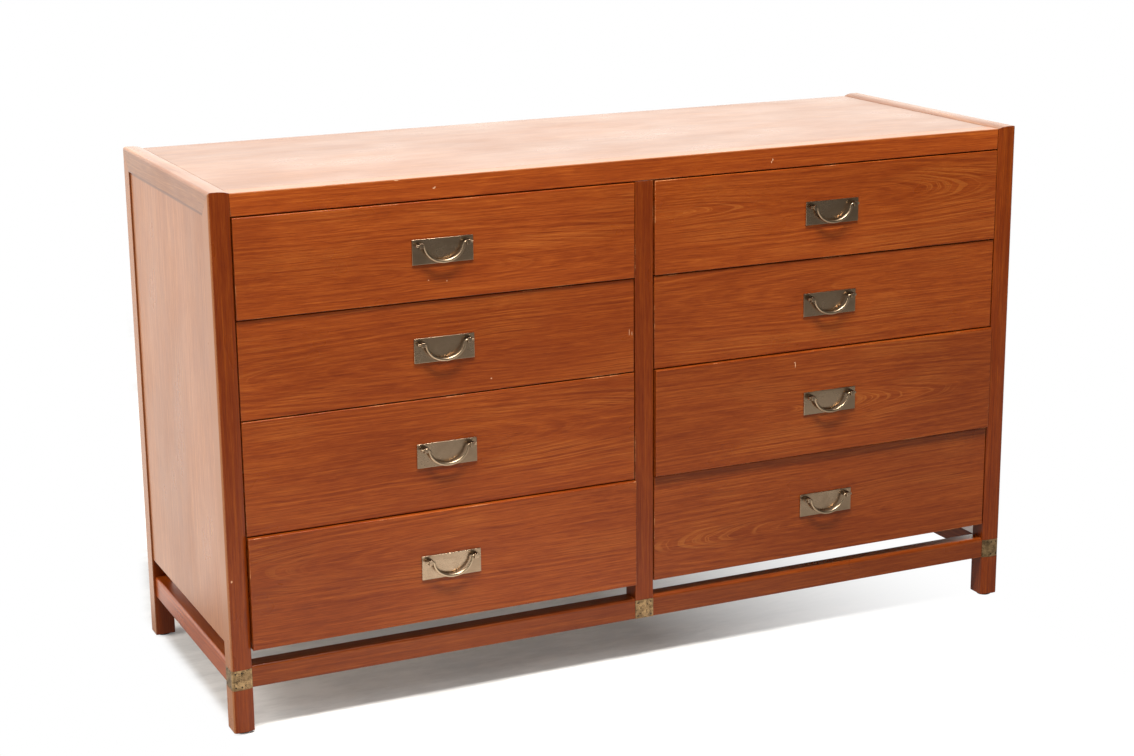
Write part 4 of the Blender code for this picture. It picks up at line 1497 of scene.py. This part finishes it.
@dataclass(frozen=True)
class Carcass:
    """The panels of the case: the top, the back and what lies inside."""

    top_easing: float = 0.0004
    board_easing: float = 0.0006
    nail_radius: float = 0.0024
    nail_easing: float = 0.0004
    nail_sunk: float = 0.0005
    nail_proud: float = 0.0006
    nail_sides: int = 12
    nail_pitch: float = 0.115
    nail_inset: float = 0.010
    stain_tone: Colour = (0.16, 0.055, 0.02)
    stain_strength: float = 0.5
    rear_dirt: Place = (1.5, 0.0030, CHIP_DEPTH)  # half the sizes of the dirt along the top's rear edge
    rear_dirt_strength: float = 0.8
    stains: tuple[Patch, ...] = (
        (0.3142, -0.0068, 0.011, 0.0045), (0.2207, -0.1434, 0.014, 0.003), (-0.6139, 0.1033, 0.006, 0.003),
    )

    def build(self, nodes: Mapping[str, bpy.types.Object]) -> None:
        """Dress the panels.

        Args:
            nodes: The frame's pieces by name.
        """
        _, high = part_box("top_panel")
        origin = (0.2, high.y + 0.2, high.z)
        grain = Grain(Run.ALONG_TOP, origin, 6.3, pith_depth=0.03, rise=0.02, ripple=0.0, shade=0.79)
        stains = [
            Mark((x, y, high.z), (a, b, CHIP_DEPTH), self.stain_tone, self.stain_strength)
            for x, y, a, b in self.stains
        ]
        rear_edge = (0.0, high.y, high.z)
        stains.append(Mark(rear_edge, self.rear_dirt, self.stain_tone, self.rear_dirt_strength))
        # the top is in the walnut with painted sheen
        dressed(nodes["top_panel"], SHEEN_PAINTED_WALNUT.material("walnut top", grain, stains), self.top_easing)
        _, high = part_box("back_panel")
        grain = Grain(Run.ALONG_FRONT, (0.1, high.y, 0.4), 7.7, pith_depth=0.02, rise=0.03, waviness=0.04)
        dressed(nodes["back_panel"], PLY.material("ply back", grain), self.board_easing)
        grain = Grain(Run.BACK_ALONG_END, (0.2, 0.0, 0.2), 8.2)
        inside = SECONDARY.material("secondary boards", grain)
        for name in ("bottom_board", "centre_partition"):
            dressed(nodes[name], inside, self.board_easing)
        for side in Side:
            for row in (1, 2, 3):
                dressed(nodes[f"dust_board_{side.tag}_{row}"], inside, self.board_easing)
        self.nails()

    def nails(self) -> None:
        """The heads of the nails that hold the back."""
        low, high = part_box("back_panel")
        heads = []
        span = high.x - low.x - 2 * self.nail_inset
        count = round(span / self.nail_pitch)
        for step in range(count + 1):
            x = low.x + self.nail_inset + span * step / count
            for z in (low.z + self.nail_inset, high.z - self.nail_inset):
                inner, outer = (x, high.y - self.nail_sunk, z), (x, high.y + self.nail_proud, z)
                head = rod(self.nail_radius, self.nail_sides, inner, outer)
                heads.append(rounded(head, self.nail_easing, 2, lambda place: place.y > high.y))
        finished("back_nails", gathered(heads), IRON.material("back nails"), "case")


@dataclass(frozen=True)
class DropPull:
    """A back plate with two bored ears, and the bail that swings in them."""

    plate_thickness: float = 0.002
    plate_easing: float = 0.0007
    ear_spacing: float = 0.0745
    ear_width: float = 0.0065
    ear_height: float = 0.0072
    ear_length: float = 0.011
    ear_easing: float = 0.0007
    pivot_below_top: float = 0.0083
    rod_radius: float = 0.0026  # of the bail at its lowest
    rod_end_share: float = 0.74
    rod_flatness_share: float = 0.82
    rod_bevel_steps: int = 6
    pin_proud: float = 0.0042
    pin_shoulder: float = 0.001  # from a pin's end to the next point of its line
    elbow_radius: float = 0.0024
    elbow_steps: int = 5
    bail_drop: float = 0.0262
    bail_steps: int = 40
    bolt_radius: float = 0.002
    bolt_sides: int = 20
    nut_radius: float = 0.004
    nut_thickness: float = 0.003
    nut_easing: float = 0.0004
    nut_short: float = 0.0002  # of the bolt's end
    nut_sides: int = 6
    grime_depth: float = 0.0070  # half the depth of the painted shade on each ear
    grime_reach: float = 0.0040  # past the ear
    grime_middle: float = 0.0050  # in front of the plate's face
    grime_tone: Colour = (0.085, 0.060, 0.040)
    grime_strength: float = 0.8

    def plate(self, name: str, low: Vector, high: Vector, tag: str, seed: float) -> None:
        """The plate with its ears, bolts and nuts.

        Args:
            name: The new piece's name.
            low: The lowest corner of the frame's plate, ears and bolts included.
            high: Its highest corner.
            tag: The drawer's tag.
            seed: Moves the patina.
        """
        face = low.y + self.ear_length
        pivot = high.z - self.pivot_below_top
        middle = (low.x + high.x) / 2
        board = block((low.x, face, low.z), (high.x, face + self.plate_thickness, high.z))
        parts = [rounded(board, self.plate_easing, 3, lambda place: place.y < face + SEAT)]
        wide, tall = self.ear_width / 2, self.ear_height / 2
        # painted shade: darkens the sides and top of each ear and paints a shadow round it on the plate,
        # leaving the ear's tip bright
        ear_shade_size = (wide + self.grime_reach, self.grime_depth, tall + self.grime_reach)
        ear_shades = []
        for side in Side:
            x = middle + side.value * self.ear_spacing / 2
            ear = block((x - wide, low.y, pivot - tall), (x + wide, face + SEAT, pivot + tall))
            parts.append(rounded(ear, self.ear_easing, 3, lambda place: place.y < face))
            spot = (x, face - self.grime_middle, pivot)
            ear_shades.append(Mark(spot, ear_shade_size, self.grime_tone, self.grime_strength))
            behind, tip = (x, face + self.plate_thickness, pivot), (x, high.y, pivot)
            parts.append(rod(self.bolt_radius, self.bolt_sides, behind, tip))
            inner, outer = (x, high.y - self.nut_thickness, pivot), (x, high.y - self.nut_short, pivot)
            nut = rod(self.nut_radius, self.nut_sides, inner, outer)
            parts.append(rounded(nut, self.nut_easing, 2))
        finish = BRONZE.material(f"bronze plate {tag}", (seed, 0.3 * seed, 0.7 * seed), ear_shades)
        finished(name, gathered(parts), finish, f"drawer_{tag}", [f"pull_plate_{tag}"])

    def bail(self, name: str, pivot: Vector, tag: str, seed: float) -> None:
        """The bent rod that the fingers hook behind.

        Args:
            name: The new piece's name.
            pivot: The middle of the axis that it swings on.
            tag: The drawer's tag.
            seed: Moves the patina.
        """
        curve = bpy.data.curves.new("bail rod", "CURVE")
        curve.dimensions = "3D"
        curve.bevel_depth = self.rod_radius
        curve.bevel_resolution = self.rod_bevel_steps
        curve.use_fill_caps = True
        path = self.bail_path()
        spline = curve.splines.new("POLY")
        spline.points.add(len(path) - 1)
        for point, (x, z, share) in zip(spline.points, path):
            point.co = (x, 0.0, z, 1.0)
            point.radius = share
        holder = bpy.data.objects.new("bail rod", curve)
        bpy.context.scene.collection.objects.link(holder)
        bpy.context.view_layer.update()
        evaluated = holder.evaluated_get(bpy.context.evaluated_depsgraph_get())
        swept = bpy.data.meshes.new_from_object(evaluated)
        bm = bmesh.new()
        bm.from_mesh(swept)
        bm.verts.layers.float.new(ARRIS)
        bpy.data.meshes.remove(swept)
        bpy.data.curves.remove(curve)
        bmesh.ops.remove_doubles(bm, verts=bm.verts, dist=SAME_POINT)
        bmesh.ops.scale(bm, vec=(1.0, self.rod_flatness_share, 1.0), verts=bm.verts)
        bmesh.ops.recalc_face_normals(bm, faces=bm.faces)
        bmesh.ops.translate(bm, vec=pivot, verts=bm.verts)
        finish = BAIL_BRONZE.material(f"bronze bail {tag}", (seed, 0.6 * seed, 0.2 * seed))
        finished(name, bm, finish, f"bail_{tag}", [f"bail_{tag}"])

    def bail_path(self) -> list[tuple[float, float, float]]:
        """The rod's line, from the end of one pin round to the other.

        Returns:
            For each point its X and Z from the middle of the axis, and its share of the radius.
        """
        pin_end = (self.ear_spacing + self.ear_width) / 2 + self.pin_proud
        elbow_out = (self.ear_spacing - self.ear_width) / 2 - SEAT
        half_span = elbow_out - self.elbow_radius
        right = [(pin_end, 0.0), (pin_end - self.pin_shoulder, 0.0), (elbow_out, 0.0)]
        r = self.elbow_radius
        for step in range(1, self.elbow_steps):
            turn = math.radians(90.0) * step / self.elbow_steps
            right.append((elbow_out - r * math.sin(turn), -r * (1 - math.cos(turn))))
        start = math.asin(self.elbow_radius / self.bail_drop)
        bow = []
        for step in range(self.bail_steps + 1):
            turn = start + (math.pi - 2 * start) * step / self.bail_steps
            bow.append((half_span * math.cos(turn), -self.bail_drop * math.sin(turn)))
        line = right + bow + [(-x, z) for x, z in reversed(right)]
        ends = self.rod_end_share
        return [(x, z, ends + (1 - ends) * min(1.0, -z / self.bail_drop)) for x, z in line]


@dataclass(frozen=True)
class Drawers:
    """The eight drawers: figured fronts, boxes of paler wood, and their pulls."""

    pull: DropPull = field(default_factory=DropPull)
    front_easing: float = 0.0012
    back_easing: float = 0.0005
    box_easing: float = 0.0008
    rows: tuple[int, ...] = (1, 2, 3, 4)
    right_seed: float = 4.5  # how much further the figure of the right column lies in its log
    veneer_start: float = 0.2  # from a front's left end to the place over the middle of its log
    heart_swing: float = 0.03  # how far up or down the middle of the log lies
    pith_depth: float = 0.02
    pith_swing: float = 0.01
    rise: float = 0.07
    ripple: float = 0.0024
    ropes: float = 0.35
    # painted shade, with some board-to-board variation: the fronts darker down the rows and in the right
    # column, where the front light falls off
    shades: Mapping[str, float] = field(default_factory=lambda: {
        "left_1": 1.00, "left_2": 0.97, "left_3": 0.93, "left_4": 0.92,
        "right_1": 0.98, "right_2": 0.92, "right_3": 0.84, "right_4": 0.83,
    })
    chips: Mapping[str, tuple[Patch, ...]] = field(default_factory=lambda: {
        "left_1": ((-0.3580, 0.6625, 0.0014, 0.0009), (-0.3290, 0.6590, 0.0009, 0.0013)),
        "left_2": ((-0.2593, 0.5005, 0.0016, 0.0012), (-0.0260, 0.5470, 0.0005, 0.0060),
                   (-0.0215, 0.5440, 0.0005, 0.0045)),
        "right_3": ((0.2700, 0.4615, 0.0009, 0.0055), (0.2685, 0.4650, 0.0012, 0.0010)),
    })

    def front(self, tag: str, grain: Grain) -> None:
        """The board that shows.

        Args:
            tag: The drawer's tag.
            grain: How its veneer was cut.
        """
        low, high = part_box(f"drawer_front_{tag}")
        bm = rounded(block(low, high), self.front_easing, 4, lambda place: place.y < low.y + SEAT)
        bm = rounded(bm, self.back_easing, 2, lambda place: place.y > high.y - SEAT)
        marks = chips_in_front(low.y, self.chips.get(tag, ()))
        finish = WALNUT.material(f"walnut drawer front {tag}", grain, marks)
        finished(f"walnut_front_{tag}", bm, finish, f"drawer_{tag}", [f"drawer_front_{tag}"])

    def build(self, nodes: Mapping[str, bpy.types.Object], joints: Sequence[Mapping[str, object]]) -> None:
        """Make every drawer.

        Args:
            nodes: The frame's pieces by name.
            joints: The frame's joints.
        """
        pivots = {joint["child"]: Vector(joint["pos_m"]) for joint in joints if joint["type"] == "hinge"}
        for side in Side:
            for row in self.rows:
                tag = f"{side.tag}_{row}"
                seed = row + self.right_seed * (side is Side.RIGHT)
                low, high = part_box(f"drawer_front_{tag}")
                heart = (low.z + high.z) / 2 + self.heart_swing * math.sin(5 * seed)
                depth = self.pith_depth + self.pith_swing * math.cos(3 * seed)
                # each front's shade carries its painted falloff shade and its board's own tone
                grain = Grain(
                    Run.ALONG_FRONT, (low.x + self.veneer_start, low.y, heart), seed, pith_depth=depth,
                    rise=self.rise * (1 if row % 2 else -1), ripple=self.ripple, ropes=self.ropes,
                    shade=self.shades[tag],
                )
                self.front(tag, grain)
                inside = SECONDARY.material(f"drawer box {tag}", Grain(Run.BACK_ALONG_END, low, 0.5 * seed))
                dressed(nodes[f"drawer_box_{tag}"], inside, self.box_easing)
                self.pull.plate(f"pull_{tag}_plate", *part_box(f"pull_plate_{tag}"), tag, seed)
                self.pull.bail(f"pull_{tag}_bail", pivots[f"bail_{tag}"], tag, seed)


@dataclass(frozen=True)
class Lamp:
    """A soft rectangular light."""

    name: str
    place: Place
    target: Place
    width: float
    height: float
    power: float
    colour: Colour = (1.0, 1.0, 1.0)

    def build(self) -> None:
        """Hang the light."""
        data = bpy.data.lights.new(self.name, "AREA")
        data.shape = "RECTANGLE"
        data.size = self.width
        data.size_y = self.height
        data.energy = self.power
        data.color = self.colour
        made = bpy.data.objects.new(self.name, data)
        bpy.context.scene.collection.objects.link(made)
        made.location = self.place
        away = Vector(self.place) - Vector(self.target)
        made.rotation_euler = away.to_track_quat("Z", "Y").to_euler()


@dataclass(frozen=True)
class Studio:
    """The floor, the light and the camera."""

    camera_place: Place = (-1.5134, -3.2093, 1.3467)
    yaw: float = 0.4337  # to the right of +Y
    pitch: float = 0.2563  # down
    roll: float = 0.0098
    focal_pixels: float = 2207.85
    image_width: float = 1134.0
    sensor_width: float = 36.0
    view_length: float = 200.0  # beyond which the camera sees nothing
    floor_radius: float = 40.0
    floor_sides: int = 96
    floor_drop: float = 0.0002  # below the feet
    floor_roughness: float = 0.9
    floor_specular: float = 0.1
    white_from: float = 1.5  # from the middle, where the floor turns plain white
    white_at: float = 2.8
    dark_from: float = -0.65  # Y where what the finish mirrors of the floor starts to darken
    dark_at: float = -1.6
    sight_line: Place = (0.9726, -0.2325, -0.7253)  # past the left rear foot; the floor left of it is white
    sight_softness: float = 0.02
    left_fade: Span = (-0.655, -0.69)  # X where the floor turns white on the left
    right_fade: Span = (-0.10, 0.68)  # X where the shadow thins out, and where it ends
    mirrored_dark: Colour = (0.17, 0.17, 0.17)  # of the floor further in front, as the finish mirrors it
    scuffed: float = 0.72  # how bright the floor's scuffs are
    scuff_span: Span = (1.25, 0.75)  # of the noise that draws them
    scuff_grain: Place = (9.0, 26.0, 1.0)  # how many small scuffs lie in a metre
    scuff_clouds: Place = (2.2, 5.0, 1.0)  # and how many patches of them
    glow_left: Span = (-0.75, -0.95)  # X where the mirrored floor turns bright beside the dresser
    glow_behind: Span = (0.2, 0.5)  # Y where it turns bright behind it
    floor_colour: Colour = (0.93, 0.93, 0.93)
    bounce_colour: Colour = (0.50, 0.50, 0.50)  # of the floor, as it lights the dresser
    shadow_lift: float = 0.10  # how far the camera sees the floor's shadow filled with white
    floor_glow: float = 1.6  # behind and beside the dresser, as the finish mirrors it
    front_glow: float = 0.50  # near it in front
    backdrop_glow: float = 2.3  # behind the dresser, as the finish mirrors it
    glow_colour: Colour = (1.0, 0.965, 0.90)
    room_glow: float = 0.02  # behind the camera, as the finish mirrors it
    room_light: float = 0.17
    backdrop_light: float = 0.9  # behind the dresser, as it lights it
    backdrop_span: Span = (-0.25, 0.45)  # how far backwards a ray looks where the backdrop starts
    ceiling_span: Span = (0.75, 0.30)  # how far up a ray looks where the backdrop darkens
    ceiling_share: float = 0.35  # of the backdrop's brightness
    lamps: tuple[Lamp, ...] = (
        Lamp("overhead softbox", (-0.3, -1.8, 5.0), (0.0, 0.0, 0.4), 2.4, 0.9, 400.0, (1.0, 0.97, 0.92)),
        Lamp("front softbox", (-2.0, -3.4, 3.9), (0.0, 0.0, 0.7), 1.6, 1.6, 38.0, (1.0, 0.97, 0.92)),
        Lamp("left softbox", (-4.2, 0.5, 2.2), (0.0, 0.0, 0.4), 2.4, 2.0, 130.0, (1.0, 0.97, 0.90)),
    )

    def camera(self) -> None:
        """Set the camera where the photograph was taken from."""
        yaw, pitch, roll = self.yaw, self.pitch, self.roll
        ahead = math.cos(pitch)
        forward = Vector((math.sin(yaw) * ahead, math.cos(yaw) * ahead, -math.sin(pitch)))
        level = Vector((math.cos(yaw), -math.sin(yaw), 0.0))
        down = forward.cross(level)
        right = level * math.cos(roll) + down * math.sin(roll)
        lower = down * math.cos(roll) - level * math.sin(roll)
        data = bpy.data.cameras.new("camera")
        data.sensor_width = self.sensor_width
        data.lens = self.focal_pixels * self.sensor_width / self.image_width
        data.clip_end = self.view_length
        made = bpy.data.objects.new("camera", data)
        bpy.context.scene.collection.objects.link(made)
        turn = Matrix((right, -lower, -forward)).transposed()
        made.matrix_world = Matrix.Translation(self.camera_place) @ turn.to_4x4()
        bpy.context.scene.camera = made

    def floor(self) -> None:
        """Lay a white floor that keeps the object's shadow and runs out into plain white."""
        bm = bmesh.new()
        bmesh.ops.create_circle(bm, cap_ends=True, segments=self.floor_sides, radius=self.floor_radius)
        mesh = bpy.data.meshes.new("floor")
        bm.to_mesh(mesh)
        bm.free()
        floor = bpy.data.objects.new("floor", mesh)
        bpy.context.scene.collection.objects.link(floor)
        floor.location = (0.0, 0.0, -self.floor_drop)
        mesh.materials.append(self.floor_finish())

    def floor_finish(self) -> bpy.types.Material:
        """The floor's white, grey in the shadow and where the finish mirrors it in front.

        Returns:
            The material.
        """
        made, g, shader = principled("floor")
        shader.inputs["Roughness"].default_value = self.floor_roughness
        shader.inputs["Specular IOR Level"].default_value = self.floor_specular
        place = g.node("ShaderNodeTexCoord").outputs["Object"]
        towards_right, towards_back, _ = g.split(place)
        path = g.node("ShaderNodeLightPath").outputs
        near = g.fade(towards_back, self.dark_at, self.dark_from)
        mirrored_dark = g.maths("MULTIPLY", path["Is Glossy Ray"], g.maths("SUBTRACT", 1.0, near))
        lit = g.blend(path["Is Diffuse Ray"], rgba(self.floor_colour), rgba(self.bounce_colour))
        small, broad = g.noise(place, self.scuff_grain, 4.0, 0.65), g.noise(place, self.scuff_clouds, 2.0)
        grey = g.fade(g.maths("ADD", small, broad), *self.scuff_span, self.scuffed, 1.0)
        lit = g.blend(1.0, lit, g.join(grey, grey, grey), "MULTIPLY")
        g.feed(shader.inputs["Base Color"], g.blend(mirrored_dark, lit, rgba(self.mirrored_dark)))
        outer = g.fade(g.vectors("LENGTH", place), self.white_from, self.white_at)
        a, b, inset = self.sight_line
        across, back = g.maths("MULTIPLY", towards_right, a), g.maths("MULTIPLY", towards_back, b)
        soft = self.sight_softness
        past = g.fade(g.maths("ADD", across, back), inset + soft, inset - soft)
        beside = g.maths("MAXIMUM", past, g.fade(towards_right, *self.left_fade))
        beside = g.maths("MAXIMUM", beside, g.fade(towards_right, *self.right_fade))
        outer = g.maths("MAXIMUM", outer, beside)
        mirrored_white = g.maths("MULTIPLY", path["Is Glossy Ray"], near)
        seen = g.maths("MAXIMUM", path["Is Camera Ray"], mirrored_white)
        glow = g.node("ShaderNodeEmission")
        left, behind = g.fade(towards_right, *self.glow_left), g.fade(towards_back, *self.glow_behind)
        around = g.maths("MAXIMUM", left, behind)
        strength = g.fade(around, 0.0, 1.0, self.front_glow, self.floor_glow)
        mirrored = g.blend(1.0, rgba(self.glow_colour), g.join(strength, strength, strength), "MULTIPLY")
        g.feed(glow.inputs["Color"], g.blend(path["Is Glossy Ray"], (1.0, 1.0, 1.0, 1.0), mirrored))
        mix = g.node("ShaderNodeMixShader")
        whitened = g.maths("MAXIMUM", outer, self.shadow_lift)
        g.feed(mix.inputs[0], g.maths("MULTIPLY", whitened, seen))
        g.feed(mix.inputs[1], shader.outputs[0])
        g.feed(mix.inputs[2], glow.outputs[0])
        g.feed(made.node_tree.nodes["Material Output"].inputs["Surface"], mix.outputs[0])
        return made

    def sky(self) -> None:
        """Light the room: plain white to the camera, and to the finish bright behind and dark in front."""
        world = bpy.data.worlds.new("room")
        bpy.context.scene.world = world
        world.use_nodes = True
        g = Graph(world.node_tree)
        background = world.node_tree.nodes["Background"]
        ray = g.node("ShaderNodeTexCoord").outputs["Generated"]
        _, back, up = g.split(ray)
        behind = g.fade(back, *self.backdrop_span)
        low = g.fade(up, *self.ceiling_span, self.ceiling_share, 1.0)
        backdrop = g.maths("MULTIPLY", behind, low)
        path = g.node("ShaderNodeLightPath").outputs
        strength = g.node("ShaderNodeMix", data_type="FLOAT")
        g.feed(strength.inputs[0], path["Is Glossy Ray"])
        g.feed(strength.inputs[2], g.fade(backdrop, 0.0, 1.0, self.room_light, self.backdrop_light))
        g.feed(strength.inputs[3], g.fade(backdrop, 0.0, 1.0, self.room_glow, self.backdrop_glow))
        tint = g.blend(path["Is Camera Ray"], rgba(self.glow_colour), (1.0, 1.0, 1.0, 1.0))
        g.feed(background.inputs["Color"], tint)
        seen = g.maths("MAXIMUM", path["Is Camera Ray"], strength.outputs[0])
        g.feed(background.inputs["Strength"], seen)

    def build(self) -> None:
        """Set up the studio."""
        bpy.context.scene.view_settings.view_transform = "Standard"
        self.camera()
        self.floor()
        self.sky()
        for lamp in self.lamps:
            lamp.build()


def main() -> None:
    """Build the looks round the frame."""
    logging.basicConfig(level=logging.INFO, format="%(name)s %(message)s")
    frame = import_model()
    Studio().build()
    EndFrames.from_frame().build(frame["nodes"])
    Rails().build()
    Carcass().build(frame["nodes"])
    Drawers().build(frame["nodes"], frame["joints"])


if __name__ == "__main__":
    main()
